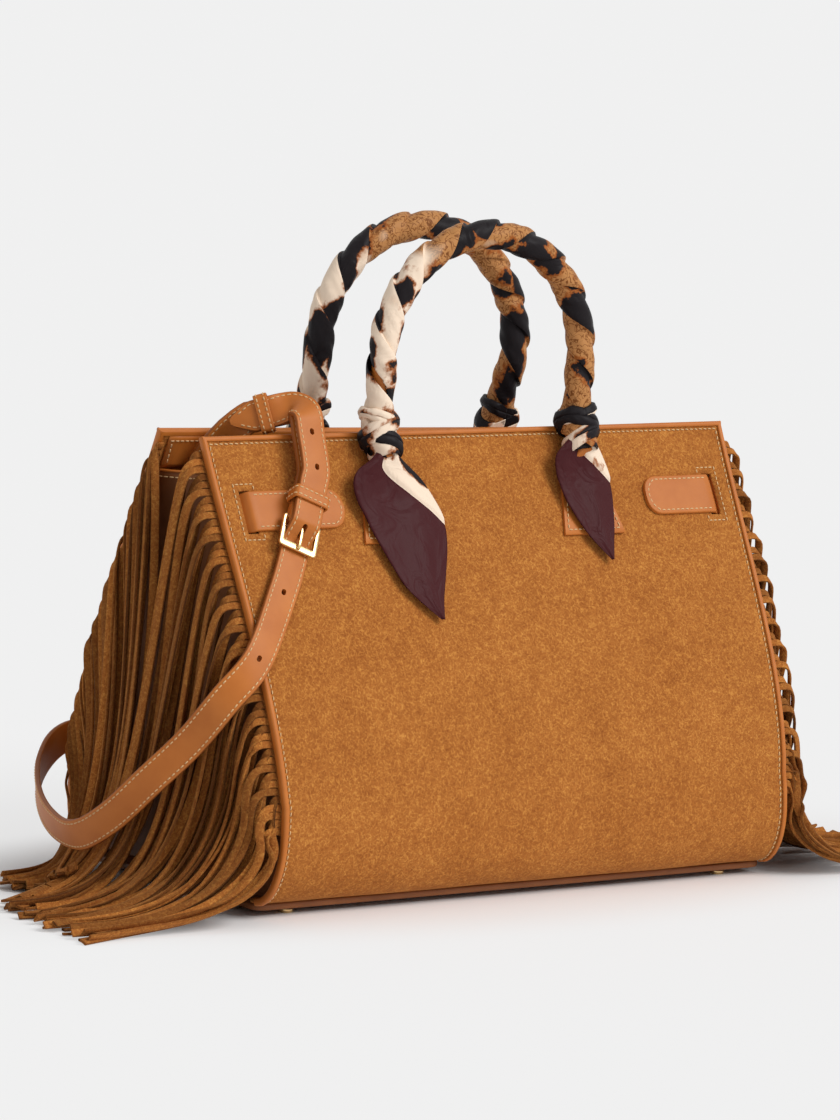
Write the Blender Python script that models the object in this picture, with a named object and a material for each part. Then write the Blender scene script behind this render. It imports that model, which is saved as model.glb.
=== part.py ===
"""Fringed suede tote: two bowed suede panels on a leather base, leather-bound edges, side
fringes, two scarf-wrapped rolled handles, two tabs and a buckled shoulder strap.

Metres, +Z up. +X runs along the front panel, the front panel faces -Y, and the origin is on
the ground under the middle of the base. side is -1 for the front and +1 for the back; end is
-1 for the left and +1 for the right.
"""
from math import acos, cos, hypot, pi, sin, sqrt

import bmesh
import bpy
from mathutils import Matrix, Vector

for leftover in list(bpy.data.objects):
    bpy.data.objects.remove(leftover)

# Body
TOP_WIDTH = 0.4012
WAIST_WIDTH = 0.3860
FOOT_WIDTH = 0.3940
TOP_HEIGHT = 0.2826
WAIST_HEIGHT = 0.070
MOUTH_HALF = 0.0236
BASE_HALF = 0.1193
BELLY_HEIGHT = 0.048
TURN_UNDER = 0.0240
TUCK = 0.006
BACK_LEAN = 0.024
PANEL_THICK = 0.0024
GAP = 0.0003

# Trim, lining and base
LEATHER = 0.0010
BINDING_LIP = 0.0035
FACING_DEPTH = 0.0225
FACING_THICK = 0.0012
GUSSET_TOP = 0.0290
GUSSET_INSET = 0.0086
GUSSET_THICK = 0.0016
GUSSET_FOLD = 0.022
BASE_THICK = 0.0043
BASE_EDGE = 0.0012
FOOT_RADIUS = 0.0045
FOOT_HEIGHT = 0.0040
FOOT_X = 0.1668
FOOT_Y = 0.0864

# Fringe
STRANDS = 18
STRAND_WIDTH = 0.0050
STRAND_THICK = 0.0016
FRINGE_START = 0.0075
FRINGE_STOP = 0.2500
HEADER_WIDTH = 0.0070
HEADER_CLEAR = 0.0009
LANE_FIRST = 0.0120
LANE_LAST = 0.1240
ARCH_OUT = 0.0105
ARCH_DROP = 0.0060
FLARE = 0.140
REACH_MIDDLE = 0.108
REACH_FRONT = 0.145
REACH_BACK = 0.070

# Handles and scarves
HANDLE_SPAN = 0.0765
HANDLE_RADIUS = 0.0060
HANDLE_STANDOFF = 0.0108
ARCH_BASE = 0.3280
ARCH_RISE = 0.0770
APEX_DEPTH = 0.0345
CHAPE_THICK = 0.0020
CHAPE_LOW = 0.0730
CHAPE_HIGH = 0.0370
CHAPE_LOW_HALF = 0.0235
CHAPE_HIGH_HALF = 0.0155
HANDLE_SIDES = 10
SCARF_THICK = 0.0024
LAP_PITCH = 0.0270
LAP_STEP = 0.0010
KNOT_SWELL = 0.0038
KNOT_LENGTH = 0.0300
TAIL_THICK = 0.0020

# Tabs
TAB_HEIGHT = 0.0255
TAB_THICK = 0.0022
TAB_TOP = 0.0365
TAB_LEFT_TIP = 0.1100
TAB_RIGHT_TIP = 0.1240
SLOT_X = 0.1785
SLOT_WIDTH = 0.0080
SLOT_SPARE = 0.0012
TAB_TAIL = 0.0080

# Shoulder strap and buckle
STRAP_WIDTH = 0.0195
STRAP_THICK = 0.0030
SHORT_THICK = 0.0032
STRAP_GAP = 0.0006
BILLET_LIFT = 0.0057
HEEL_BORE = 0.0021
HEEL_LEATHER = 0.0016
BAR = 0.0028
FAR_BAR = 0.0046
FRAME_THICK = 0.0024
FRAME_INNER_WIDTH = 0.0205
FRAME_INNER_LENGTH = 0.0145
PRONG_WIDTH = 0.0020
HOLE_WIDTH = 0.0032
HOLE_LENGTH = 0.0060
PRONG_HOLE_LENGTH = 0.0100
HEEL_X = -0.1478
HEEL_RUN = 0.0600
HEEL_OFF = 0.0083
BUCKLE_TILT = 0.46
KEEPER_FIXED_UP = 0.0150
KEEPER_SPOT = Vector((-0.1450, -0.0090, 0.2940))
KEEPER_ALONG = Vector((0.76, -0.54, 0.30)).normalized()
KEEPER_OUT = Vector((-0.52, -0.76, 0.22)).normalized()
KEEPER_SPARE = 0.0009
KEEPER_THICK = 0.0014
STRAP_END_X = 0.1500
STRAP_END_Z = 0.2450
STRAP_SEAT = 0.0024
KEEPER_WIDTH = 0.0085

SUEDE = ("suede", (0.46, 0.20, 0.055, 1.0), 0.95, 0.0)
CALF = ("smooth_leather", (0.56, 0.22, 0.07, 1.0), 0.45, 0.0)
DARK_CALF = ("lining_leather", (0.25, 0.09, 0.03, 1.0), 0.60, 0.0)
SATIN = ("printed_satin", (0.30, 0.20, 0.14, 1.0), 0.40, 0.0)
GOLD = ("pale_gold_plate", (0.85, 0.68, 0.42, 1.0), 0.22, 1.0)


def material(finish):
    name, colour, roughness, metallic = finish
    found = bpy.data.materials.get(name)
    if found:
        return found
    made = bpy.data.materials.new(name)
    made.use_nodes = True
    shader = made.node_tree.nodes["Principled BSDF"]
    shader.inputs["Base Color"].default_value = colour
    shader.inputs["Roughness"].default_value = roughness
    shader.inputs["Metallic"].default_value = metallic
    return made


def finish_object(bm, name, finish, smooth=None):
    """Turns the bmesh into a named object with its material."""
    bmesh.ops.remove_doubles(bm, verts=bm.verts, dist=1e-6)
    bmesh.ops.recalc_face_normals(bm, faces=bm.faces)
    mesh = bpy.data.meshes.new(name)
    bm.to_mesh(mesh)
    bm.free()
    mesh.materials.append(material(finish))
    if smooth:
        mesh.shade_smooth()
        mesh.set_sharp_from_angle(angle=smooth)
    made = bpy.data.objects.new(name, mesh)
    bpy.context.collection.objects.link(made)
    return made


def hide_guide(guide):
    guide.hide_render = True
    guide.display_type = "WIRE"
    return guide


def combine(target, guide, operation):
    """Adds a Boolean of a hidden guide solid to the target."""
    cut = target.modifiers.new(guide.name, "BOOLEAN")
    cut.operation = operation
    cut.solver = "EXACT"
    cut.object = hide_guide(guide)


def loft(bm, rings, closed=False):
    """Skins rings of equal length; the two ends are capped unless the loft closes on itself."""
    skins = [[bm.verts.new(point) for point in ring] for ring in rings]
    count = len(skins[0])
    pairs = list(zip(skins, skins[1:]))
    if closed:
        pairs.append((skins[-1], skins[0]))
    for low, high in pairs:
        for k in range(count):
            after = (k + 1) % count
            bm.faces.new((low[k], low[after], high[after], high[k]))
    if not closed:
        bm.faces.new(skins[0])
        bm.faces.new(skins[-1])
    return skins


def sheet(bm, rows_a, rows_b):
    """A closed sheet between two grids of points that run side by side."""
    loft_rows = [list(a) + list(reversed(b)) for a, b in zip(rows_a, rows_b)]
    skins = [[bm.verts.new(point) for point in row] for row in loft_rows]
    count = len(skins[0])
    for low, high in zip(skins, skins[1:]):
        for k in range(count):
            after = (k + 1) % count
            bm.faces.new((low[k], low[after], high[after], high[k]))
    half = count // 2
    for row in (skins[0], skins[-1]):
        for k in range(half - 1):
            bm.faces.new((row[k], row[k + 1], row[count - 2 - k], row[count - 1 - k]))


def spaced(start, stop, count):
    return [start + (stop - start) * k / (count - 1) for k in range(count)]


def smoothstep(value):
    value = min(max(value, 0.0), 1.0)
    return value * value * (3.0 - 2.0 * value)


def cubic(p, q, r, s, t):
    u = 1.0 - t
    return p * u**3 + q * (3 * u * u * t) + r * (3 * u * t * t) + s * t**3


def curve_through(points, steps):
    """Catmull-Rom curve through the points, with the given steps in each span."""
    ends = [points[0] * 2 - points[1]] + list(points) + [points[-1] * 2 - points[-2]]
    path = []
    for k in range(1, len(ends) - 2):
        a, b, c, d = ends[k - 1 : k + 3]
        for step in range(steps):
            t = step / steps
            path.append(
                (b * 2 + (c - a) * t + (a * 2 - b * 5 + c * 4 - d) * t * t
                 + (b * 3 - a - c * 3 + d) * t**3) * 0.5
            )
    path.append(points[-1].copy())
    return path


def side_outline():
    """A panel's outline seen from the side, as (depth, height) from the top edge to its tuck."""
    top = Vector((MOUTH_HALF, TOP_HEIGHT))
    belly = Vector((BASE_HALF, BELLY_HEIGHT))
    drop = TOP_HEIGHT - BELLY_HEIGHT
    leave = top + Vector((0.165, -0.345)) * drop
    arrive = belly + Vector((0.0, 0.31)) * drop
    outline = [cubic(top, leave, arrive, belly, k / 40) for k in range(41)]
    ground = FOOT_HEIGHT + BASE_THICK + GAP
    centre = Vector((BASE_HALF - TURN_UNDER, BELLY_HEIGHT))
    fall = BELLY_HEIGHT - ground
    for k in range(1, 17):
        turn = 0.5 * pi * k / 16
        outline.append(centre + Vector((TURN_UNDER * cos(turn), -fall * sin(turn))))
    outline.append(Vector((centre.x - TUCK, ground)))
    return outline


OUTLINE = side_outline()
RUN = [0.0]
for upper, lower in zip(OUTLINE, OUTLINE[1:]):
    RUN.append(RUN[-1] + (lower - upper).length)
PANEL_RUN = RUN[-1]
TURN_RUN = PANEL_RUN - TUCK
BELLY_RUN = RUN[40]


def along_outline(run):
    """Depth, height and outward direction at a distance down the panel from its top edge."""
    k = 0
    while k < len(RUN) - 2 and RUN[k + 1] < run:
        k += 1
    part = (run - RUN[k]) / (RUN[k + 1] - RUN[k])
    spot = OUTLINE[k].lerp(OUTLINE[k + 1], part)
    before = OUTLINE[max(k - 1, 0)]
    after = OUTLINE[min(k + 2, len(OUTLINE) - 1)]
    tangent = (after - before).normalized()
    return spot, Vector((-tangent.y, tangent.x))


def half_width(height):
    if height >= WAIST_HEIGHT:
        part = min((height - WAIST_HEIGHT) / (TOP_HEIGHT - WAIST_HEIGHT), 1.0)
        return 0.5 * (WAIST_WIDTH + (TOP_WIDTH - WAIST_WIDTH) * part**0.75)
    part = 1.0 - height / WAIST_HEIGHT
    return 0.5 * (WAIST_WIDTH + (FOOT_WIDTH - WAIST_WIDTH) * part)


def on_panel(side, x, run, off):
    """The point off outside a panel's face, at x and at a distance down from the top edge."""
    spot, out = along_outline(run)
    lean = 0.0
    if side > 0:
        lean = BACK_LEAN * (x / TOP_WIDTH + 0.5) * max(spot.y / TOP_HEIGHT, 0.0) ** 2
    depth = spot.x + out.x * off + lean
    return Vector((x, side * depth, spot.y + out.y * off - 0.5 * lean))


def edge_x(run):
    return half_width(along_outline(run)[0].y)


def run_at(height):
    """Distance down the front panel to a height above the ground."""
    return next(run for run, spot in zip(RUN, OUTLINE) if spot.y <= height)


def panel_runs(start, stop, spacing):
    return spaced(start, stop, max(2, int(round((stop - start) / spacing)) + 1))


EDGE_RUNS = panel_runs(0.0, BELLY_RUN, 0.026) + spaced(BELLY_RUN, TURN_RUN, 5)[1:]


def make_panel(side, name):
    """Suede on board, short of the outline by the leather that wraps its edge."""
    inset = LEATHER + GAP
    runs = [inset] + EDGE_RUNS[1:] + [PANEL_RUN]
    outer = []
    inner = []
    for run in runs:
        reach = edge_x(run) - inset
        columns = [-reach, -0.5 * reach, 0.0, 0.5 * reach, reach]
        outer.append([on_panel(side, x, run, 0.0) for x in columns])
        inner.append([on_panel(side, x, run, -PANEL_THICK) for x in columns])
    bm = bmesh.new()
    sheet(bm, outer, inner)
    return finish_object(bm, name, SUEDE, smooth=0.6)


def panel_block(side, x0, x1, run0, run1, off0, off1):
    """A closed block in a panel's own curved frame."""
    bm = bmesh.new()
    runs = (run0, 0.5 * (run0 + run1), run1)
    grids = [[[on_panel(side, x, run, off) for x in (x0, x1)] for run in runs] for off in (off0, off1)]
    sheet(bm, grids[0], grids[1])
    return bm


def cut_slot(panel, side, end):
    """The slot that a tab passes through."""
    x0 = end * (SLOT_X - 0.5 * SLOT_WIDTH)
    x1 = end * (SLOT_X + 0.5 * SLOT_WIDTH)
    low = TAB_TOP - SLOT_SPARE
    high = TAB_TOP + TAB_HEIGHT + SLOT_SPARE
    through = 2 * PANEL_THICK
    block = panel_block(side, x0, x1, low, high, through, -through)
    combine(panel, finish_object(block, f"slot_cutter_{'left' if end < 0 else 'right'}", SUEDE), "DIFFERENCE")


def make_binding(side, name):
    """Leather folded over the panel's sides and top, as a U section swept round the edge."""
    face = GAP + LEATHER
    back = -PANEL_THICK - face
    section = (
        (0.0, face), (BINDING_LIP, face), (BINDING_LIP, GAP), (LEATHER, GAP),
        (LEATHER, -PANEL_THICK - GAP), (BINDING_LIP, -PANEL_THICK - GAP), (BINDING_LIP, back), (0.0, back),
    )
    down = EDGE_RUNS[:-1]
    stations = [(-edge_x(run), run, 1, 0) for run in reversed(down[1:])]
    stations.append((-edge_x(0.0), 0.0, 1, 1))
    stations += [(x, 0.0, 0, 1) for x in spaced(-0.6 * edge_x(0.0), 0.6 * edge_x(0.0), 4)]
    stations.append((edge_x(0.0), 0.0, -1, 1))
    stations += [(edge_x(run), run, -1, 0) for run in down[1:]]
    rings = []
    for x, run, inward, downward in stations:
        rings.append([on_panel(side, x + inward * e, run + downward * e, off) for e, off in section])
    bm = bmesh.new()
    loft(bm, rings)
    return finish_object(bm, name, CALF)


def make_facing(side, name):
    """Smooth leather band sewn inside the mouth, below the binding's inner lip."""
    start = BINDING_LIP + GAP
    near = -PANEL_THICK - GAP
    far = near - FACING_THICK
    runs = spaced(start, start + FACING_DEPTH, 3)
    grids = []
    for off in (near, far):
        grid = []
        for run in runs:
            reach = edge_x(run) - HEADER_WIDTH - 4 * GAP
            grid.append([on_panel(side, x, run, off) for x in spaced(-reach, reach, 5)])
        grids.append(grid)
    bm = bmesh.new()
    sheet(bm, grids[0], grids[1])
    return finish_object(bm, name, CALF)


def make_gusset(end, name):
    """Side wall between the panels, folded inward towards its top edge."""
    clear = -PANEL_THICK - GAP
    runs = [GUSSET_TOP] + [run for run in EDGE_RUNS if run > GUSSET_TOP + GUSSET_THICK]
    rows = []
    for run in runs:
        reach = edge_x(run) - GUSSET_INSET
        front = on_panel(-1, end * reach, run, clear)
        back = on_panel(1, end * reach, run, clear)
        fold = GUSSET_FOLD * smoothstep(1.25 - run / (0.6 * PANEL_RUN))
        row = []
        for part in (0.0, 0.25, 0.5, 0.75, 1.0):
            point = front.lerp(back, part)
            point.x -= end * fold * smoothstep(1.0 - abs(2.0 * part - 1.0))
            row.append(point)
        rows.append(row)
    floor = FOOT_HEIGHT + BASE_THICK + GAP
    seat = BASE_HALF - TURN_UNDER - TUCK - GAP
    reach = half_width(floor) - GUSSET_INSET
    for height in (floor + PANEL_THICK + GAP, floor):
        rows.append([Vector((end * reach, y, height)) for y in spaced(-seat, seat, 5)])
    inside = [[point - Vector((end * GUSSET_THICK, 0, 0)) for point in row] for row in rows]
    bm = bmesh.new()
    sheet(bm, rows, inside)
    return finish_object(bm, name, DARK_CALF, smooth=0.8)


def make_base():
    """Leather-covered board under the bag, with a rounded outline."""
    half_x = half_width(FOOT_HEIGHT) - BASE_EDGE
    half_y = BASE_HALF - TURN_UNDER + BASE_EDGE
    corner = 0.008
    outline = []
    for quarter, (sx, sy) in enumerate(((1, 1), (-1, 1), (-1, -1), (1, -1))):
        for step in range(4):
            turn = 0.5 * pi * (quarter + step / 3)
            outline.append(Vector((sx * (half_x - corner), sy * (half_y - corner), 0))
                           + Vector((cos(turn), sin(turn), 0)) * corner)
    edge = 0.0010
    rings = []
    for height, shrink in ((0, edge), (edge, 0), (BASE_THICK - edge, 0), (BASE_THICK, edge)):
        scale_x = 1 - shrink / half_x
        scale_y = 1 - shrink / half_y
        rings.append([Vector((p.x * scale_x, p.y * scale_y, FOOT_HEIGHT + height)) for p in outline])
    bm = bmesh.new()
    loft(bm, rings)
    return finish_object(bm, "base", CALF)


def make_foot(x, y, name):
    """Turned metal stud, flat where it meets the ground."""
    profile = (
        (0.72, 0.0), (0.93, 0.0006), (1.0, 0.0016), (0.95, 0.0026), (0.62, 0.0031), (0.62, FOOT_HEIGHT - GAP),
    )
    bm = bmesh.new()
    rings = []
    for factor, height in profile:
        radius = FOOT_RADIUS * factor
        rings.append([Vector((x + radius * cos(a), y + radius * sin(a), height)) for a in spaced(0, 2 * pi, 11)[:-1]])
    loft(bm, rings)
    return finish_object(bm, name, GOLD, smooth=0.7)


def strand_path(side, end, share, root):
    """Centre line of one fringe strand: over a small arch, down its lane, out along the ground."""
    sideways = Vector((0, side, 0))
    outward = Vector((end, 0, 0))
    lane = LANE_FIRST + (LANE_LAST - LANE_FIRST) * share
    reach_edge = REACH_FRONT if side < 0 else REACH_BACK
    reach = REACH_MIDDLE + (reach_edge - REACH_MIDDLE) * share
    lying = 0.5 * STRAND_THICK + GAP
    bend = 0.12 * root.z + 0.016
    hang = root.z - ARCH_DROP - 0.012
    flare_low = ARCH_OUT + FLARE * (root.z - bend)
    start_y = abs(root.y)
    y_low = start_y + (lane - start_y) * 0.85

    def spot(out, y, z):
        return Vector((root.x, 0, z)) + outward * out + sideways * y

    middle = 0.5 * (hang + bend)
    return [
        root,
        spot(0.60 * ARCH_OUT, start_y, root.z + 0.0002),
        spot(ARCH_OUT, start_y + (lane - start_y) * 0.08, root.z - ARCH_DROP),
        spot(ARCH_OUT + FLARE * 0.012, start_y + (lane - start_y) * 0.2, hang),
        spot(ARCH_OUT + FLARE * (root.z - middle), 0.5 * (start_y + lane), middle),
        spot(flare_low, y_low, bend),
        spot(flare_low + 0.55 * bend, lane, lying + 0.25 * bend),
        spot(flare_low + 0.55 * bend + 0.018, lane, lying),
        spot(max(reach, flare_low + 0.55 * bend + 0.030), lane, lying),
    ]


def make_fringe(side, end, name):
    """One comb of strands cut from a strip that is sewn behind the binding's inner lip."""
    near = -PANEL_THICK - LEATHER - HEADER_CLEAR
    far = near - STRAND_THICK
    pitch = (FRINGE_STOP - FRINGE_START) / STRANDS
    bm = bmesh.new()

    def corner(run, x_in, off):
        return bm.verts.new(on_panel(side, end * (edge_x(run) - x_in), run, off))

    tail = None
    for k in range(STRANDS):
        centre = FRINGE_START + pitch * (k + 0.5)
        rows = []
        for run in (centre - 0.5 * STRAND_WIDTH, centre + 0.5 * STRAND_WIDTH):
            rows.append([corner(run, x_in, off) for x_in, off in
                         ((HEADER_WIDTH, near), (0.0, near), (0.0, far), (HEADER_WIDTH, far))])
        strips = [(rows[0], rows[1], False)]
        if tail:
            strips.append((tail, rows[0], True))
        else:
            bm.faces.new(rows[0])
        for upper, lower, outer_side in strips:
            for a, b in ((0, 1), (2, 3), (3, 0)) + (((1, 2),) if outer_side else ()):
                bm.faces.new((upper[a], upper[b], lower[b], lower[a]))
        tail = rows[1]
        root_ring = [rows[0][1], rows[0][2], rows[1][2], rows[1][1]]
        add_strand(bm, side, end, (k + 0.5) / STRANDS, root_ring)
    bm.faces.new(tail)
    return finish_object(bm, name, SUEDE)


def add_strand(bm, side, end, share, root_ring):
    """Extrudes one strand from its root on the header; it twists flat as it turns down."""
    root = sum((v.co for v in root_ring), Vector()) / 4
    root_wide = (root_ring[2].co - root_ring[1].co).normalized()
    path = strand_path(side, end, share, root)
    ring = root_ring
    for k in range(1, len(path)):
        before = path[k - 1]
        after = path[min(k + 1, len(path) - 1)]
        heading = (after - before).normalized()
        wide = root_wide.lerp(Vector((0, side, 0)), smoothstep((k - 0.4) / 2.2))
        wide = (wide - heading * wide.dot(heading)).normalized()
        thick = heading.cross(wide) * (end * side)
        half_wide = wide * (0.5 * STRAND_WIDTH)
        half_thick = thick * (0.5 * STRAND_THICK)
        spots = (
            path[k] - half_wide + half_thick, path[k] - half_wide - half_thick,
            path[k] + half_wide - half_thick, path[k] + half_wide + half_thick,
        )
        fresh = [bm.verts.new(spot) for spot in spots]
        for j in range(4):
            bm.faces.new((ring[j], ring[(j + 1) % 4], fresh[(j + 1) % 4], fresh[j]))
        ring = fresh
    bm.faces.new(ring)


def handle_stations(side):
    """Centre, outward direction and place along the handle, from its right foot to its left."""
    spots = []
    for end in (1, -1):
        leg = []
        for run in (0.0215, 0.0100, 0.0):
            leg.append(on_panel(side, end * HANDLE_SPAN, run, HANDLE_STANDOFF))
        top = leg[-1]
        rise = ARCH_BASE - top.z
        for part in (0.35, 0.68, 1.0):
            depth = abs(top.y) + (APEX_DEPTH - abs(top.y)) * smoothstep(part)
            leg.append(Vector((end * HANDLE_SPAN, side * depth, top.z + rise * part)))
        spots.append(leg)
    right, left = spots
    arch = []
    turns = 12
    for k in range(1, turns):
        turn = pi * k / turns
        depth = right[-1].y * (1 - k / turns) + left[-1].y * k / turns
        arch.append(Vector((HANDLE_SPAN * cos(turn), depth, ARCH_BASE + ARCH_RISE * sin(turn))))
    return right + arch + list(reversed(left))


def frames_along(path, outward):
    """Heading, outward and across directions at each point of a path."""
    frames = []
    for k, spot in enumerate(path):
        heading = (path[min(k + 1, len(path) - 1)] - path[max(k - 1, 0)]).normalized()
        out = (outward - heading * outward.dot(heading)).normalized()
        frames.append((spot, heading, out, heading.cross(out)))
    return frames


def round_ring(frame, radius_at, sides=HANDLE_SIDES):
    spot, _, out, across = frame
    ring = []
    for k in range(sides):
        turn = 2 * pi * k / sides
        radius = radius_at(turn) if callable(radius_at) else radius_at
        ring.append(spot + (out * cos(turn) + across * sin(turn)) * radius)
    return ring


def make_handle(side, name):
    """Rolled leather handle whose flattened, tapered ends are sewn to the panel."""
    path = handle_stations(side)
    frames = frames_along(path, Vector((0, side, 0)))
    rings = [round_ring(frame, HANDLE_RADIUS) for frame in frames]
    lead = flat_end(side, 1, frames[0])
    trail = flat_end(side, -1, frames[-1])
    bm = bmesh.new()
    loft(bm, list(reversed(lead)) + rings + trail)
    return finish_object(bm, name, CALF, smooth=0.9)


def flat_end(side, end, frame):
    """Rings from just below the round leg down to the wide end of its chape."""
    _, heading, out, across = frame
    direction = 1.0 if across.x > 0 else -1.0
    rings = []
    for run, half, lift, thick in (
        (CHAPE_HIGH - 0.008, 0.7 * CHAPE_HIGH_HALF, 0.0022, 0.0045),
        (CHAPE_HIGH, CHAPE_HIGH_HALF, GAP, CHAPE_THICK),
        (0.5 * (CHAPE_HIGH + CHAPE_LOW), 0.5 * (CHAPE_HIGH_HALF + CHAPE_LOW_HALF), GAP, CHAPE_THICK),
        (CHAPE_LOW, CHAPE_LOW_HALF, GAP, CHAPE_THICK),
    ):
        ring = []
        for k in range(HANDLE_SIDES):
            turn = 2 * pi * k / HANDLE_SIDES
            flat = max(-1.0, min(1.0, 1.3 * sin(turn)))
            level = max(-1.0, min(1.0, 2.4 * cos(turn)))
            x = end * HANDLE_SPAN + direction * flat * half
            ring.append(on_panel(side, x, run, lift + 0.5 * thick * (1 + level)))
        rings.append(ring)
    return rings


def make_scarf(side, name):
    """Satin ribbon wound round the handle in laps, knotted at both legs, ends hanging free."""
    path = handle_stations(side)
    frames = frames_along(path, Vector((0, side, 0)))
    bore = [round_ring(frame, HANDLE_RADIUS + GAP + 0.0001) for frame in frames]
    fine = curve_through(path, 2)
    fine_frames = frames_along(fine, Vector((0, side, 0)))
    lengths = [0.0]
    for a, b in zip(fine, fine[1:]):
        lengths.append(lengths[-1] + (b - a).length)
    total = lengths[-1]
    guard = LEATHER + 2.2 * GAP
    skin = []
    for frame, length in zip(fine_frames, lengths):
        from_end = min(length, total - length)
        swell = KNOT_SWELL * sin(pi * min(from_end / KNOT_LENGTH, 1.0)) ** 0.6

        def radius_at(turn):
            lap = (length / LAP_PITCH - turn / (2 * pi)) % 1.0
            return HANDLE_RADIUS + SCARF_THICK + LAP_STEP * (1.0 - lap) + swell

        ring = round_ring(frame, radius_at)
        for point in ring:
            keep_off_panel(point, side, guard)
        skin.append(ring)
    bm = bmesh.new()
    outer = [[bm.verts.new(p) for p in ring] for ring in skin]
    inner = [[bm.verts.new(p) for p in ring] for ring in bore]
    for rings in (outer, inner):
        for low, high in zip(rings, rings[1:]):
            for k in range(HANDLE_SIDES):
                after = (k + 1) % HANDLE_SIDES
                bm.faces.new((low[k], low[after], high[after], high[k]))
    for a, b in ((outer[0], inner[0]), (outer[-1], inner[-1])):
        for k in range(HANDLE_SIDES):
            after = (k + 1) % HANDLE_SIDES
            bm.faces.new((a[k], a[after], b[after], b[k]))
    scarf = finish_object(bm, name, SATIN, smooth=0.9)
    for end in (-1, 1):
        combine(scarf, make_tail(side, end, f"{name}_tail_{'left' if end < 0 else 'right'}"), "UNION")
    return scarf


def keep_off_panel(point, side, guard):
    """Presses a scarf point out so that it clears the bound panel behind the handle."""
    if point.z > TOP_HEIGHT + 0.010:
        return
    run = 0.0
    while run < 0.06 and on_panel(side, point.x, run, 0.0).z > point.z:
        run += 0.002
    face = on_panel(side, point.x, run, guard)
    limit = abs(face.y) + 0.0004
    if abs(point.y) < limit or point.y * side < 0:
        point.y = side * limit


def make_tail(side, end, name):
    """Free end of the ribbon: a leaf that hangs down over the chape and ends in a point."""
    front_left = side < 0 and end < 0
    length = 0.104 if front_left else 0.076
    swing = 0.020 if front_left else 0.006
    widest = 0.0235 if front_left else 0.0165
    start = 0.006
    clear = 0.043
    rest = start + length - clear
    outer = []
    inner = []
    for run, lift, wide in (
        (start, 0.0192, 0.22), (0.0225, 0.0192, 0.42), (0.033, 0.0118, 0.78), (clear, 0.0064, 1.00),
        (clear + 0.38 * rest, 0.0052, 0.94), (clear + 0.72 * rest, 0.0046, 0.56), (clear + rest, 0.0042, 0.05),
    ):
        centre = end * HANDLE_SPAN + swing * (run - start) / length
        half = widest * wide
        columns = [centre + half * step for step in (-1.0, 0.0, 1.0)]
        ridge = (0.0, 0.0012, 0.0)
        inner.append([on_panel(side, x, run, lift + r) for x, r in zip(columns, ridge)])
        outer.append([on_panel(side, x, run, lift + TAIL_THICK + r) for x, r in zip(columns, ridge)])
    bm = bmesh.new()
    sheet(bm, outer, inner)
    return finish_object(bm, name, SATIN)


def make_tab(end, tip, name):
    """Leather tab that comes out through its slot and lies along the front panel."""
    outside = GAP + 0.5 * TAB_THICK
    inside = -PANEL_THICK - GAP - 0.5 * TAB_THICK
    cross = 0.5 * SLOT_WIDTH
    corner = 0.010
    stations = []
    for k in range(5):
        turn = 0.5 * pi * k / 4
        stations.append((tip + corner * (1 - cos(turn)), TAB_HEIGHT - 2 * corner * (1 - sin(turn)), outside))
    stations.append((SLOT_X - cross - 0.002, TAB_HEIGHT, outside))
    for part in (0.2, 0.5, 0.8):
        level = outside + (inside - outside) * smoothstep(part)
        stations.append((SLOT_X + cross * (2 * part - 1) * 0.62, TAB_HEIGHT, level))
    stations.append((SLOT_X + cross + 0.001, TAB_HEIGHT, inside))
    stations.append((SLOT_X + cross + 0.001 + 0.4 * TAB_TAIL, TAB_HEIGHT, inside))
    rings = []
    middle = TAB_TOP + 0.5 * TAB_HEIGHT
    for k, (x, tall, level) in enumerate(stations):
        before = stations[max(k - 1, 0)]
        after = stations[min(k + 1, len(stations) - 1)]
        slope = Vector((after[0] - before[0], after[2] - before[2])).normalized()
        lean = Vector((-slope.y, slope.x)) * (0.5 * TAB_THICK)
        ring = []
        for up, out in ((-0.5, 1), (0.0, 1), (0.5, 1), (0.5, -1), (0.0, -1), (-0.5, -1)):
            ring.append(on_panel(-1, end * (x + out * lean.x), middle + up * tall, level + out * lean.y))
        rings.append(ring)
    bm = bmesh.new()
    loft(bm, rings)
    return finish_object(bm, name, CALF)


class Seat:
    """A local frame on the front panel: down along the strap, out from the panel, across it."""

    def __init__(self, x, run, off, tilt):
        step = 0.001
        self.origin = on_panel(-1, x, run, off)
        self.out = (on_panel(-1, x, run, off + step) - self.origin).normalized()
        down = (on_panel(-1, x, run + step, off) - self.origin).normalized()
        self.down = (down * cos(tilt) - Vector((sin(tilt), 0, 0))).normalized()
        self.across = self.out.cross(self.down)

    def at(self, down, out, across=0.0):
        return self.origin + self.down * down + self.out * out + self.across * across

    def matrix(self):
        """Local X down the strap, local Y across it, local Z out of the panel."""
        turn = Matrix((self.down, -self.across, self.out)).transposed()
        return Matrix.Translation(self.origin) @ turn.to_4x4()


HEEL = Seat(HEEL_X, HEEL_RUN, HEEL_OFF, BUCKLE_TILT)


def front_spot(x, run, off):
    """A strap point in front of the front panel, with the panel's outward direction."""
    spot = on_panel(-1, x, run, off)
    return spot, (on_panel(-1, x, run, off + 0.001) - spot).normalized()


def back_spot(x, run, off, way=1):
    spot = on_panel(1, x, run, off)
    return spot, (on_panel(1, x, run, off + 0.001) - spot).normalized() * way


def heel_spot(down, out):
    return HEEL.at(down, out), HEEL.out.copy()


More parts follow.
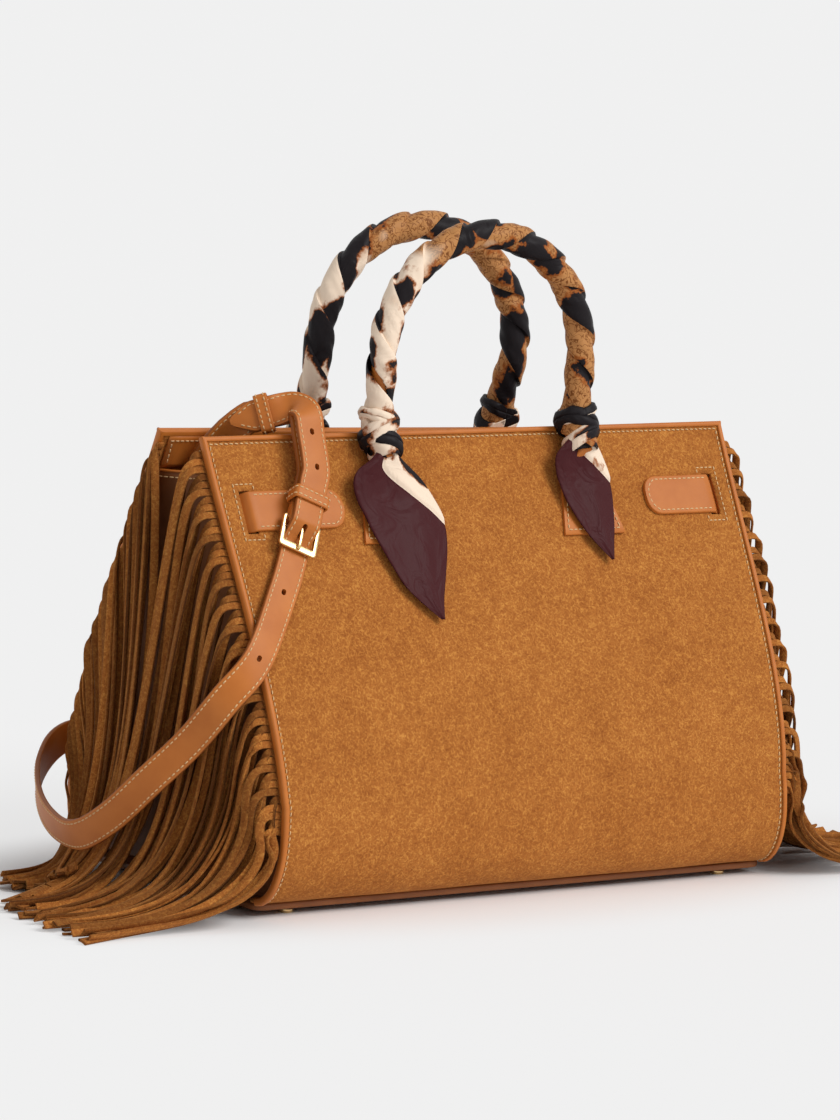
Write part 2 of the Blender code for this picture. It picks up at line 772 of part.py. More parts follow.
def billet_route():
    """The punched end of the strap from its tip, then the long run round the left side."""
    over_mouth = [
        (KEEPER_SPOT - KEEPER_ALONG * 0.0215, KEEPER_OUT.copy()),
        (KEEPER_SPOT - KEEPER_ALONG * 0.0070, KEEPER_OUT.copy()),
        (KEEPER_SPOT + KEEPER_ALONG * 0.0060, KEEPER_OUT.copy()),
        (Vector((-0.1315, -0.0175, 0.2990)), Vector((-0.70, -0.42, 0.50)).normalized()),
        (Vector((-0.1292, -0.0260, 0.2993)), Vector((-0.42, -0.25, 0.87)).normalized()),
        (Vector((-0.1290, -0.0330, 0.2950)), Vector((-0.08, -0.80, 0.60)).normalized()),
    ]
    down_front = [front_spot(-0.1300, 0.0040, 0.0140), front_spot(-0.1322, 0.027, 0.0140)]
    through_buckle = [
        heel_spot(-0.0245, BILLET_LIFT), heel_spot(-0.0110, BILLET_LIFT), heel_spot(0.0006, BILLET_LIFT),
        heel_spot(0.0042, 0.0045), heel_spot(0.0074, 0.0015), heel_spot(0.0105, -0.0016),
        heel_spot(0.0140, -0.0034), heel_spot(0.0185, -0.0038), heel_spot(0.0260, -0.0038),
    ]
    across_fringe = [
        front_spot(-0.1714, 0.1030, 0.0042), front_spot(-0.2002, 0.1435, 0.0052),
        (Vector((-0.2210, -0.0915, 0.1333)), Vector((-0.50, -0.82, 0.28))),
        (Vector((-0.2320, -0.0723, 0.1055)), Vector((-0.60, -0.76, 0.22))),
        (Vector((-0.2470, -0.0535, 0.0804)), Vector((-0.68, -0.70, 0.15))),
        (Vector((-0.2590, -0.0296, 0.0545)), Vector((-0.84, -0.48, -0.10))),
        (Vector((-0.2640, -0.0024, 0.0395)), Vector((-0.84, 0.42, -0.34))),
    ]
    round_back = [
        (Vector((-0.2590, 0.0330, 0.0400)), Vector((-0.90, 0.38, -0.20))),
        (Vector((-0.2460, 0.0700, 0.0480)), Vector((-0.86, 0.50, -0.10))),
        (Vector((-0.2250, 0.1040, 0.0610)), Vector((-0.68, 0.73, 0.0))),
        (Vector((-0.1970, 0.1228, 0.0750)), Vector((-0.25, 0.97, 0.0))),
        back_spot(-0.1600, run_at(0.085), 0.0045), back_spot(-0.0850, run_at(0.108), 0.0040),
        back_spot(0.0, run_at(0.140), 0.0036), back_spot(0.0800, run_at(0.184), 0.0030),
        back_spot(0.1250, run_at(0.218), 0.0030), back_spot(STRAP_END_X, run_at(STRAP_END_Z), STRAP_SEAT),
    ]
    return over_mouth + down_front + through_buckle + across_fringe + round_back


def band_frames(route, steps):
    """Centre, across and outward directions along a strap route."""
    path = curve_through([spot for spot, _ in route], steps)
    outs = curve_through([out for _, out in route], steps)
    frames = []
    for k, spot in enumerate(path):
        heading = (path[min(k + 1, len(path) - 1)] - path[max(k - 1, 0)]).normalized()
        out = (outs[k] - heading * outs[k].dot(heading)).normalized()
        frames.append((spot, heading.cross(out), out))
    return frames


def short_frames():
    """The buckle end, from inside the back facing: it runs under the punched end to the buckle."""
    near = 0.5 * (STRAP_THICK + SHORT_THICK) + STRAP_GAP
    sewn = -PANEL_THICK - 2 * GAP - FACING_THICK - 0.5 * SHORT_THICK
    under_billet = []
    for k, (spot, across, out) in enumerate(band_frames(billet_route(), 2)[2:17]):
        under = near + (BILLET_LIFT - near) * smoothstep((k - 3) / 5)
        under_billet.append((spot - out * under, across, out))
    first = under_billet[0]
    sewn_end = [
        back_spot(-0.1650, 0.0220, sewn, -1), back_spot(-0.1640, 0.0060, sewn - 0.0050, -1), (first[0], first[2]),
    ]
    last = under_billet[-1]
    buckle_end = [(last[0], last[2]), heel_spot(-0.0085, 0.0)]
    return band_frames(sewn_end, 1)[:2] + under_billet + band_frames(buckle_end, 1)[1:]


def band(bm, frames, width, thick, taper=()):
    """A flat strap along its frames; taper gives the width of its first rings."""
    skins = []
    for k, (spot, across, out) in enumerate(frames):
        step = across * (0.5 * width * (taper[k] if k < len(taper) else 1.0))
        rise = out * (0.5 * thick)
        ring = (spot - step + rise, spot + step + rise, spot + step - rise, spot - step - rise)
        skins.append([bm.verts.new(point) for point in ring])
    for low, high in zip(skins, skins[1:]):
        for a, b in ((0, 1), (1, 2), (3, 2), (0, 3)):
            bm.faces.new((low[a], low[b], high[b]))
            bm.faces.new((low[a], high[b], high[a]))
    bm.faces.new(skins[0])
    bm.faces.new(skins[-1])


def oval_cutter(name, centre, along, out, length, width, depth):
    """A prism with a long oval outline, for one hole in the strap."""
    across = out.cross(along)
    straight = 0.5 * (length - width)
    outline = []
    for k in range(12):
        turn = 2 * pi * (k + 0.5) / 12
        shift = straight if cos(turn) > 0 else -straight
        outline.append(along * (shift + 0.5 * width * cos(turn)) + across * (0.5 * width * sin(turn)))
    bm = bmesh.new()
    loft(bm, [[centre + p + out * level for p in outline] for level in (-depth, depth)])
    return finish_object(bm, name, CALF)


def make_long_strap():
    """The long strap with its pointed, punched end."""
    frames = band_frames(billet_route(), 2)
    bm = bmesh.new()
    band(bm, frames, STRAP_WIDTH, STRAP_THICK, taper=(0.16, 0.78))
    strap = finish_object(bm, "strap_long", CALF)
    upper = band_frames(billet_route()[5:9], 1)
    lower = band_frames(billet_route()[16:20], 1)
    places = [upper[1], upper[2], lower[1], lower[2]]
    for k, (spot, across, out) in enumerate(places):
        along = across.cross(out)
        cutter = oval_cutter(f"hole_cutter_{k}", spot, along, out, HOLE_LENGTH, HOLE_WIDTH, 0.0028)
        combine(strap, cutter, "DIFFERENCE")
    slope = Vector((0.72, 0.69))
    along = (HEEL.down * slope.x - HEEL.out * slope.y).normalized()
    out = (HEEL.down * slope.y + HEEL.out * slope.x).normalized()
    prong_cut = oval_cutter(
        "prong_hole_cutter", HEEL.at(0.0069, 0.0022), along, out, PRONG_HOLE_LENGTH, HOLE_WIDTH, 0.0040
    )
    combine(strap, prong_cut, "DIFFERENCE")
    return strap


def heel_loop(name, radius, reach, half_width_across):
    """A rounded wedge round the heel bar, running up to the merged strap."""
    bm = bmesh.new()
    outline = [(-reach, 0.5 * SHORT_THICK)]
    for k in range(11):
        turn = pi * (0.5 - k / 10)
        outline.append((radius * cos(turn), radius * sin(turn)))
    outline.append((-reach, -0.5 * SHORT_THICK))
    loft(bm, [[HEEL.at(down, out, side) for down, out in outline] for side in (-half_width_across, half_width_across)])
    return finish_object(bm, name, CALF)


def heel_drill(name, radius, half):
    bm = bmesh.new()
    rings = []
    for across in (-half, half):
        rings.append([HEEL.at(radius * cos(t), radius * sin(t), across) for t in spaced(0, 2 * pi, 17)[:-1]])
    loft(bm, rings)
    return finish_object(bm, name, CALF)


def heel_block(name, down0, down1, out0, out1, half):
    bm = bmesh.new()
    rings = []
    for across in (-half, half):
        rings.append([HEEL.at(d, o, across) for d, o in ((down0, out0), (down1, out0), (down1, out1), (down0, out1))])
    loft(bm, rings)
    return finish_object(bm, name, CALF)


def make_short_strap():
    """The buckle strap, folded back round the heel bar with a slot for the prong."""
    bm = bmesh.new()
    band(bm, short_frames(), STRAP_WIDTH, SHORT_THICK)
    strap = finish_object(bm, "strap_short", CALF)
    outer = HEEL_BORE + HEEL_LEATHER
    half = 0.5 * STRAP_WIDTH
    combine(strap, heel_loop("heel_loop_guide", outer, 0.0100, half), "UNION")
    combine(strap, heel_drill("heel_bore_cutter", HEEL_BORE, 2 * half), "DIFFERENCE")
    slot = heel_block("prong_slot_cutter", -1.6 * outer, 2 * outer, -2 * outer, 2 * outer, 0.5 * PRONG_WIDTH + 0.0006)
    combine(strap, slot, "DIFFERENCE")
    return strap


def make_frame():
    """Cast buckle frame: thin heel and side bars, a broad far bar."""
    heel = 0.5 * BAR
    inner_u = (heel, heel + FRAME_INNER_LENGTH)
    outer_u = (-heel, inner_u[1] + FAR_BAR)
    inner_w = 0.5 * FRAME_INNER_WIDTH
    outer_w = inner_w + BAR
    corners = ((1, 1), (0, 1), (0, -1), (1, -1))
    round_out = 0.0020
    round_in = 0.0008
    half = 0.5 * FRAME_THICK
    bevel = 0.0004
    rings = []
    for quarter, (far, sign) in enumerate(corners):
        for step in range(3):
            turn = 0.5 * pi * (quarter + step / 2)
            u_way = 1 if far else -1
            points = []
            for span_u, span_w, radius in ((outer_u, outer_w, round_out), (inner_u, inner_w, round_in)):
                centre_u = span_u[far] - u_way * radius
                centre_w = sign * (span_w - radius)
                points.append(Vector((centre_u + radius * cos(turn), centre_w + radius * sin(turn))))
            outside, inside = points
            lip = (inside - outside).normalized() * bevel
            rings.append([
                Vector((outside.x, outside.y, half - bevel)), Vector((outside.x + lip.x, outside.y + lip.y, half)),
                Vector((inside.x - lip.x, inside.y - lip.y, half)), Vector((inside.x, inside.y, half - bevel)),
                Vector((inside.x, inside.y, -half)), Vector((outside.x, outside.y, -half)),
            ])
    bm = bmesh.new()
    loft(bm, rings, closed=True)
    frame = finish_object(bm, "buckle_frame", GOLD)
    frame.matrix_world = HEEL.matrix()
    return frame


def make_prong():
    """Prong bent round the heel bar, resting on the far bar."""
    rest = 0.5 * FRAME_THICK + GAP
    reach = 0.5 * BAR + FRAME_INNER_LENGTH + 0.8 * FAR_BAR
    thick = 0.0018
    eye = HEEL_BORE + 0.0012
    half = 0.5 * PRONG_WIDTH

    def side_face(bm, outline):
        loft(bm, [[Vector((u, w, n)) for u, n in outline] for w in (-half, half)])

    bm = bmesh.new()
    side_face(bm, [
        (0.0, rest), (0.2 * reach, rest), (reach, rest), (reach + 0.0006, rest + 0.5 * thick),
        (reach, rest + thick), (0.5 * reach, rest + 1.1 * thick), (0.2 * reach, rest + thick), (0.0, rest + thick),
    ])
    prong = finish_object(bm, "buckle_prong", GOLD)
    bm = bmesh.new()
    side_face(bm, [(eye * cos(t), eye * sin(t)) for t in spaced(0, 2 * pi, 15)[:-1]])
    guide = finish_object(bm, "prong_eye_guide", GOLD)
    bm = bmesh.new()
    loft(bm, [[Vector((HEEL_BORE * cos(t), w, HEEL_BORE * sin(t))) for t in spaced(0, 2 * pi, 15)[:-1]]
              for w in (-3 * half, 3 * half)])
    drill = finish_object(bm, "prong_bore_cutter", GOLD)
    for piece in (prong, guide, drill):
        piece.matrix_world = HEEL.matrix()
    combine(prong, guide, "UNION")
    combine(prong, drill, "DIFFERENCE")
    return prong


def make_keeper(name, centre, along, out, low, high):
    """A leather loop round both straps; low and high are its inner faces along out."""
    across = out.cross(along)
    half = 0.5 * STRAP_WIDTH + KEEPER_SPARE
    corner = 0.0012
    rings = []
    for k, (sx, top) in enumerate(((1, True), (-1, True), (-1, False), (1, False))):
        for step in range(2):
            turn = 0.5 * pi * (k + (0.2 if step == 0 else 0.8))
            base = across * (sx * (half - corner)) + out * ((high - corner) if top else (low + corner))
            ray = across * cos(turn) + out * sin(turn)
            inner = base + ray * corner
            outer = base + ray * (corner + KEEPER_THICK)
            step_along = along * (0.5 * KEEPER_WIDTH)
            rings.append([centre + p for p in (inner - step_along, inner + step_along, outer + step_along, outer - step_along)])
    bm = bmesh.new()
    loft(bm, rings, closed=True)
    return finish_object(bm, name, CALF)


def make_keepers():
    spare = 0.0006
    make_keeper(
        "keeper_fixed", HEEL.at(-KEEPER_FIXED_UP, 0.0), HEEL.down, HEEL.out,
        -0.5 * SHORT_THICK - spare, BILLET_LIFT + 0.5 * STRAP_THICK + spare,
    )
    across = KEEPER_ALONG.cross(KEEPER_OUT).normalized()
    out = across.cross(KEEPER_ALONG)
    low = -0.5 * STRAP_THICK - STRAP_GAP - SHORT_THICK - spare
    keeper = make_keeper("keeper_sliding", Vector(), KEEPER_ALONG, out, low, 0.5 * STRAP_THICK + spare)
    keeper.location = KEEPER_SPOT
    return keeper


front_panel = make_panel(-1, "front_panel")
for end in (-1, 1):
    cut_slot(front_panel, -1, end)
make_panel(1, "back_panel")
for side, place in ((-1, "front"), (1, "back")):
    make_binding(side, f"binding_{place}")
    make_facing(side, f"facing_{place}")
    make_handle(side, f"handle_{place}")
    make_scarf(side, f"scarf_{place}")
    for end, hand in ((-1, "left"), (1, "right")):
        make_fringe(side, end, f"fringe_{place}_{hand}")
        make_foot(end * FOOT_X, side * FOOT_Y, f"foot_{place}_{hand}")
make_gusset(-1, "gusset_left")
make_gusset(1, "gusset_right")
make_base()
make_tab(-1, TAB_LEFT_TIP, "tab_left")
make_tab(1, TAB_RIGHT_TIP, "tab_right")
make_long_strap()
make_short_strap()
make_frame()
make_prong()
make_keepers()
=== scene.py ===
"""Looks of a fringed suede tote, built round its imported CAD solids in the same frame.
Lengths are in metres: x to the right of the bag's front, y to its back, z up."""
import functools
import math
import random

import bmesh
import bpy
from mathutils import Matrix, Vector, noise


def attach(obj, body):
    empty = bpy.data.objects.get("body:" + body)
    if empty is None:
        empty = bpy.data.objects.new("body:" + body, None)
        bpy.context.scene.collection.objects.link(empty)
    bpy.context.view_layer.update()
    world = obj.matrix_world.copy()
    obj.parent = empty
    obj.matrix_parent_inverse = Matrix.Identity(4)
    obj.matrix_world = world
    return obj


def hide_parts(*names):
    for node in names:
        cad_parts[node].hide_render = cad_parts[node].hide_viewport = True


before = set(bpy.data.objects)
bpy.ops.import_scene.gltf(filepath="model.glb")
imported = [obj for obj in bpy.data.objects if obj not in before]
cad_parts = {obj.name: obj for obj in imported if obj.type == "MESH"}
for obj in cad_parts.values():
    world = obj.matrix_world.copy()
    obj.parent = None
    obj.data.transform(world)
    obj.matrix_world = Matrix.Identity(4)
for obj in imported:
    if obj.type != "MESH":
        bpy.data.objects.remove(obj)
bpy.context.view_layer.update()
scene = bpy.context.scene


# Camera: a long lens a little above the bag, to the left of its front, leaning very slightly, as
# the photograph was taken.
turn, tip_down, lean = math.radians(36.119), math.radians(7.3665), math.radians(2.6579)
distance, aimed_at = 3.62178, Vector((-0.01563, 0, 0.19738))
ahead = Vector((math.sin(turn) * math.cos(tip_down), math.cos(turn) * math.cos(tip_down),
                -math.sin(tip_down)))
level = Vector((math.cos(turn), -math.sin(turn), 0))
upright = level.cross(ahead)
right = level * math.cos(lean) + upright * math.sin(lean)
above = upright * math.cos(lean) - level * math.sin(lean)
lens = bpy.data.cameras.new("camera")
lens.lens, lens.sensor_width, lens.sensor_fit = 185.657, 36, "AUTO"
lens.clip_start, lens.clip_end = 0.1, 200
camera = bpy.data.objects.new("camera", lens)
camera.matrix_world = Matrix.Translation(aimed_at - ahead * distance) @ Matrix(
    (right, above, -ahead)).transposed().to_4x4()
scene.collection.objects.link(camera)
scene.camera = camera


# Studio: a pale sweep of paper, even light from all round and one broad soft lamp from the upper
# right of the front, so the left side with the fringe falls a little darker.
def hex_colour(text):
    """An sRGB hex value as linear RGBA."""
    parts = [int(text[k:k + 2], 16) / 255 for k in (1, 3, 5)]
    return (*[c / 12.92 if c <= 0.04045 else ((c + 0.055) / 1.055) ** 2.4 for c in parts], 1.0)


def add_node(tree, kind, inputs=None, **settings):
    """Adds a node. An input is a value, a hex colour, a socket to link from, or a node, which
    stands for its first output in use."""
    made = tree.nodes.new("ShaderNode" + kind)
    for name, value in settings.items():
        setattr(made, name, value)
    for name, value in (inputs or {}).items():
        if isinstance(value, bpy.types.Node):
            value = next(socket for socket in value.outputs if socket.enabled)
        if isinstance(value, bpy.types.NodeSocket):
            tree.links.new(value, made.inputs[name])
        else:
            made.inputs[name].default_value = hex_colour(value) if isinstance(value, str) else value
    return made


def new_material(name):
    """An empty node material and the function that adds nodes to it."""
    made = bpy.data.materials.new(name)
    made.use_nodes = True
    made.node_tree.nodes.clear()
    return made, functools.partial(add_node, made.node_tree)


def open_rays(add):
    """1 for the rays that look at the backdrop: from the camera, mirrored or let through."""
    rays = add("LightPath")
    found = rays.outputs["Is Camera Ray"]
    for kind in ("Is Glossy Ray", "Is Transmission Ray"):
        found = add("Math", {0: found, 1: rays.outputs[kind]}, operation="MAXIMUM")
    return found


paper, add = new_material("studio_paper")
lit = add("BsdfDiffuse", {"Color": "#FAFAFA"})
even = add("Emission", {"Color": "#F1F1F1"})
spread = add("VectorMath", {0: add("NewGeometry"), 1: (2.9, 6.2, 0.0)}, operation="MULTIPLY")
away = add("VectorMath", {0: spread}, operation="LENGTH")
open_floor = add("MapRange", {"Value": away, "From Min": 0.80, "From Max": 1.35,
                              "To Max": 0.78}, interpolation_type="SMOOTHSTEP")
share = add("Math", {0: open_rays(add), 1: open_floor}, operation="MULTIPLY")
sweep = add("MixShader", {0: share, 1: lit, 2: even})
add("OutputMaterial", {"Surface": sweep})
FLOOR_HALF = 60
bm = bmesh.new()
bmesh.ops.create_grid(bm, x_segments=2, y_segments=2, size=FLOOR_HALF)
mesh = bpy.data.meshes.new("floor")
bm.to_mesh(mesh)
bm.free()
mesh.materials.append(paper)
floor = bpy.data.objects.new("floor", mesh)
scene.collection.objects.link(floor)

world = bpy.data.worlds.new("studio")
world.use_nodes = True
world.node_tree.nodes.clear()
add = functools.partial(add_node, world.node_tree)
ambient = add("Background", {"Color": "#FFFFFF", "Strength": 0.47})
shown = add("Background", {"Color": "#F0F0F0"})
add("OutputWorld", {
    "Surface": add("MixShader", {0: open_rays(add), 1: ambient, 2: shown})})
scene.world = world
lamp = bpy.data.lights.new("key", "SUN")
lamp.energy, lamp.angle = 2.05, math.radians(32)
holder = bpy.data.objects.new("key", lamp)
holder.rotation_mode = "QUATERNION"
holder.rotation_quaternion = Vector((-0.36, 0.68, -0.64)).to_track_quat("-Z", "Y")
scene.collection.objects.link(holder)
scene.view_settings.view_transform = "Standard"


# Bag body: the outline of both walls seen from the side, straight near the mouth, bowed out
# below and turned in over the base. Everything sewn to a wall is placed by its distance across,
# its run down from the wall's top edge, and how far it stands off the suede.
TOP_WIDTH, WAIST_WIDTH, FOOT_WIDTH = 0.4012, 0.3860, 0.3940
TOP_HEIGHT, WAIST_HEIGHT, BELLY_HEIGHT = 0.2826, 0.070, 0.048
MOUTH_HALF, BASE_HALF, TURN_UNDER, TUCK, BACK_LEAN = 0.0236, 0.1193, 0.0240, 0.006, 0.024
WALL, GAP, LEATHER = 0.0024, 0.0003, 0.0010
FOOT_HEIGHT, BASE_THICK = 0.0040, 0.0043


def spaced(start, stop, count):
    """Evenly spaced values, both ends among them."""
    return [start + (stop - start) * k / (count - 1) for k in range(count)]


def around(count):
    """Angles all the way round."""
    return spaced(0, 2 * math.pi, count + 1)[:-1]


def smoothstep(value):
    value = min(max(value, 0.0), 1.0)
    return value * value * (3 - 2 * value)


def distances(line):
    """Distance along a line at each of its points."""
    lengths = [0.0]
    for a, b in zip(line, line[1:]):
        lengths.append(lengths[-1] + (b - a).length)
    return lengths


def side_outline():
    """Points (distance from the bag's middle, height) from the mouth to the turned-in foot."""
    top, belly = Vector((MOUTH_HALF, TOP_HEIGHT)), Vector((BASE_HALF, BELLY_HEIGHT))
    drop = TOP_HEIGHT - BELLY_HEIGHT
    leave, arrive = top + Vector((0.165, -0.345)) * drop, belly + Vector((0.0, 0.31)) * drop
    outline = []
    for t in spaced(0, 1, 41):
        u = 1 - t
        outline.append(top * u**3 + leave * 3 * u * u * t + arrive * 3 * u * t * t + belly * t**3)
    ground = FOOT_HEIGHT + BASE_THICK + GAP
    centre = Vector((BASE_HALF - TURN_UNDER, BELLY_HEIGHT))
    for bend in spaced(0, 0.5 * math.pi, 17)[1:]:
        outline.append(centre + Vector((TURN_UNDER * math.cos(bend),
                                        (ground - BELLY_HEIGHT) * math.sin(bend))))
    outline.append(Vector((centre.x - TUCK, ground)))
    return outline


OUTLINE = side_outline()
RUN = distances(OUTLINE)


def along_outline(run):
    """The outline's point and outward direction at a run."""
    k = 0
    while k < len(RUN) - 2 and RUN[k + 1] < run:
        k += 1
    spot = OUTLINE[k].lerp(OUTLINE[k + 1], (run - RUN[k]) / (RUN[k + 1] - RUN[k]))
    tangent = (OUTLINE[min(k + 2, len(OUTLINE) - 1)] - OUTLINE[max(k - 1, 0)]).normalized()
    return spot, Vector((-tangent.y, tangent.x))


def half_width(height):
    """Half the wall's width at a height."""
    if height >= WAIST_HEIGHT:
        part = min((height - WAIST_HEIGHT) / (TOP_HEIGHT - WAIST_HEIGHT), 1.0)
        return 0.5 * (WAIST_WIDTH + (TOP_WIDTH - WAIST_WIDTH) * part**0.75)
    return 0.5 * (WAIST_WIDTH + (FOOT_WIDTH - WAIST_WIDTH) * (1 - height / WAIST_HEIGHT))


def edge_x(run):
    return half_width(along_outline(run)[0].y)


def on_wall(side, x, run, off=0.0):
    """A point that stands off outside a wall; side is -1 for the front wall and 1 for the back."""
    spot, out = along_outline(run)
    slant = 0.0
    if side > 0:
        slant = BACK_LEAN * (x / TOP_WIDTH + 0.5) * max(spot.y / TOP_HEIGHT, 0.0) ** 2
    return Vector((x, side * (spot.x + out.x * off + slant), spot.y + out.y * off - 0.5 * slant))


def finish_mesh(bm, name, material, body="bag", nodes=(), smooth=0.9, facing=None):
    """Makes the piece: normals, shading, material, the body it rides on, the nodes it stands for.
    facing is the way an open sheet's first face looks."""
    if facing is None:
        bmesh.ops.remove_doubles(bm, verts=bm.verts, dist=1e-6)
        bmesh.ops.recalc_face_normals(bm, faces=bm.faces)
    else:
        bm.normal_update()
        bm.faces.ensure_lookup_table()
        if bm.faces[0].normal.dot(facing) < 0:
            bmesh.ops.reverse_faces(bm, faces=bm.faces)
    mesh = bpy.data.meshes.new(name)
    bm.to_mesh(mesh)
    bm.free()
    mesh.materials.append(material)
    mesh.shade_smooth()
    mesh.set_sharp_from_angle(angle=smooth)
    made = bpy.data.objects.new(name, mesh)
    scene.collection.objects.link(made)
    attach(made, body)
    if nodes:
        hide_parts(*nodes)
    return made


def thicken(piece, thickness, offset):
    """Gives an open sheet its thickness; offset -1 puts it behind the face and 1 before it."""
    solid = piece.modifiers.new("thickness", "SOLIDIFY")
    solid.thickness, solid.offset = thickness, offset


def grid(rows, skip=()):
    """A mesh of faces between rows of points; skip holds (row, column) cells left open."""
    bm = bmesh.new()
    skins = [[bm.verts.new(p) for p in row] for row in rows]
    for r, (low, high) in enumerate(zip(skins, skins[1:])):
        for c in range(len(low) - 1):
            if (r, c) not in skip:
                bm.faces.new((low[c], low[c + 1], high[c + 1], high[c]))
    return bm


def tube_faces(bm, rings, closed=False):
    """Faces from ring to ring of points, capped at both ends unless the rings close up."""
    skins = [[bm.verts.new(p) for p in ring] for ring in rings]
    count = len(skins[0])
    for low, high in list(zip(skins, skins[1:])) + ([(skins[-1], skins[0])] if closed else []):
        for k in range(count):
            bm.faces.new((low[k], low[(k + 1) % count], high[(k + 1) % count], high[k]))
    if not closed:
        bm.faces.new(skins[0])
        bm.faces.new(skins[-1])
    return skins


def tube(rings, closed=False):
    """A mesh round rings of points."""
    bm = bmesh.new()
    tube_faces(bm, rings, closed)
    return bm


# Suede of the walls and the fringe: split cowhide, buffed to a short nap. The nap lies in soft
# clouds of lighter and darker brown about 40 mm across, patches of 7 mm, curled brush marks of
# 3 mm and fibre tufts of 1 to 2 mm. The attribute "tone" darkens single strands of the fringe at
# random, and also carries painted shade. The innermost layer, lying under the others, is darker,
# and the long edges are darker: partly the cut suede's own edge, partly shade between strands.
def middle_lines(add, pattern, thin, wide):
    """Lines where a noise passes its middle: 1 within thin of it, fading to 0 at wide."""
    off = add("Math", {0: pattern, 1: 0.5}, operation="SUBTRACT")
    off = add("Math", {0: off}, operation="ABSOLUTE")
    return add("MapRange", {"Value": off, "From Min": thin, "From Max": wide,
                            "To Min": 1.0, "To Max": 0.0})


suede, add = new_material("napped_split_suede")
here = add("TexCoord").outputs["Object"]
clouds = add("TexNoise", {"Vector": here, "Scale": 26, "Detail": 4, "Roughness": 0.55})
tufts = add("TexNoise", {"Vector": here, "Scale": 640, "Detail": 4, "Roughness": 0.65})
patches = add("TexNoise", {"Vector": here, "Scale": 150, "Detail": 3, "Roughness": 0.6})
curls = add("TexNoise", {"Vector": here, "Scale": 340, "Detail": 1, "Distortion": 0.5})
cloud = add("MapRange", {"Value": clouds, "From Min": 0.22, "From Max": 0.80})
tuft = add("MapRange", {"Value": tufts, "From Min": 0.28, "From Max": 0.72})
patch = add("MapRange", {"Value": patches, "From Min": 0.25, "From Max": 0.75})
curl = middle_lines(add, curls, 0.010, 0.060)
brown = add("Mix", {"Factor": cloud, 6: "#A8672C", 7: "#B97737"}, data_type="RGBA")
for pattern, strength in ((tuft, 0.46), (patch, 0.20), (curl, 0.26)):
    brown = add("Mix", {"Factor": strength, 6: brown, 7: pattern}, data_type="RGBA",
                blend_type="SOFT_LIGHT")
# Dark brown mixed in by "tone": random strand tone plus painted shade on the inner layer and strand
# edges.
strand = add("Attribute", attribute_name="tone").outputs["Fac"]
strand_tone_and_shade = add("Math", {0: strand, 1: 0.40}, operation="MULTIPLY")
brown = add("Mix", {"Factor": strand_tone_and_shade, 6: brown, 7: "#3A1C08"}, data_type="RGBA")
nap = add("Bump", {"Strength": 0.45, "Distance": 0.0005, "Height": tufts})
nap = add("Bump", {"Strength": 0.40, "Distance": 0.0003, "Height": curl, "Normal": nap})
skin = add("BsdfPrincipled", {
    "Base Color": brown, "Roughness": 0.96, "Specular IOR Level": 0.18, "Sheen Weight": 0.22,
    "Sheen Roughness": 0.45, "Sheen Tint": "#E2A863", "Normal": nap})
add("OutputMaterial", {"Surface": skin})


# Smooth calf of the bindings, tabs, strap and handles: full-grain, dyed through and lightly
# waxed, with a pore grain under 1 mm that shows only as a soft break in the highlight. The
# attribute "edge" marks the cut edges of the strap, which are painted a darker brown.
calf, add = new_material("waxed_full_grain_calf")
here = add("TexCoord").outputs["Object"]
pores = add("TexVoronoi", {"Vector": here, "Scale": 1500}, feature="DISTANCE_TO_EDGE")
creases = add("TexNoise", {"Vector": here, "Scale": 900, "Detail": 3})
shade = add("TexNoise", {"Vector": here, "Scale": 55, "Detail": 3})
shade = add("MapRange", {"Value": shade, "From Min": 0.3, "From Max": 0.7})
dye = add("Mix", {"Factor": shade, 6: "#B56625", 7: "#C1712D"}, data_type="RGBA")
edge = add("Attribute", attribute_name="edge").outputs["Fac"]
painted = add("Math", {0: edge, 1: 0.62}, operation="MULTIPLY")
dye = add("Mix", {"Factor": painted, 6: dye, 7: "#6E3511"}, data_type="RGBA")
grain = add("Bump", {"Strength": 0.10, "Distance": 0.0002, "Height": creases})
grain = add("Bump", {"Strength": 0.06, "Distance": 0.0001, "Height": pores, "Normal": grain})
gloss = add("MapRange", {"Value": creases, "To Min": 0.42, "To Max": 0.56})
skin = add("BsdfPrincipled", {
    "Base Color": dye, "Roughness": gloss, "Specular IOR Level": 0.30, "Normal": grain})
add("OutputMaterial", {"Surface": skin})


def finish_calf(bm, name, smooth=0.9, body="bag", facing=None):
    """A calf piece, which stands for the node of its name."""
    return finish_mesh(bm, f"calf_{name}", calf, body, [name], smooth, facing)


# Sewing thread of every seam: bonded polyester, three strands twisted, cream. The twist shows as
# mottling 0.4 mm across.
thread, add = new_material("cream_bonded_thread")
here = add("TexCoord").outputs["Object"]
twist = add("TexNoise", {"Vector": here, "Scale": 2600, "Detail": 1})
tone = add("Mix", {"Factor": twist, 6: "#C99B62", 7: "#EBCB98"}, data_type="RGBA")
ply = add("Bump", {"Strength": 0.3, "Distance": 0.0001, "Height": twist})
skin = add("BsdfPrincipled", {
    "Base Color": tone, "Roughness": 0.6, "Sheen Weight": 0.1, "Normal": ply})
add("OutputMaterial", {"Surface": skin})

STITCH_RADIUS, STITCH_SHARE = 0.00042, 0.70
STITCH_SHAPE = ((-1.0, 0.35, -0.5), (-0.8, 0.9, 0.15), (0.0, 1.05, 0.5), (0.8, 0.9, 0.15),
                (1.0, 0.35, -0.5))


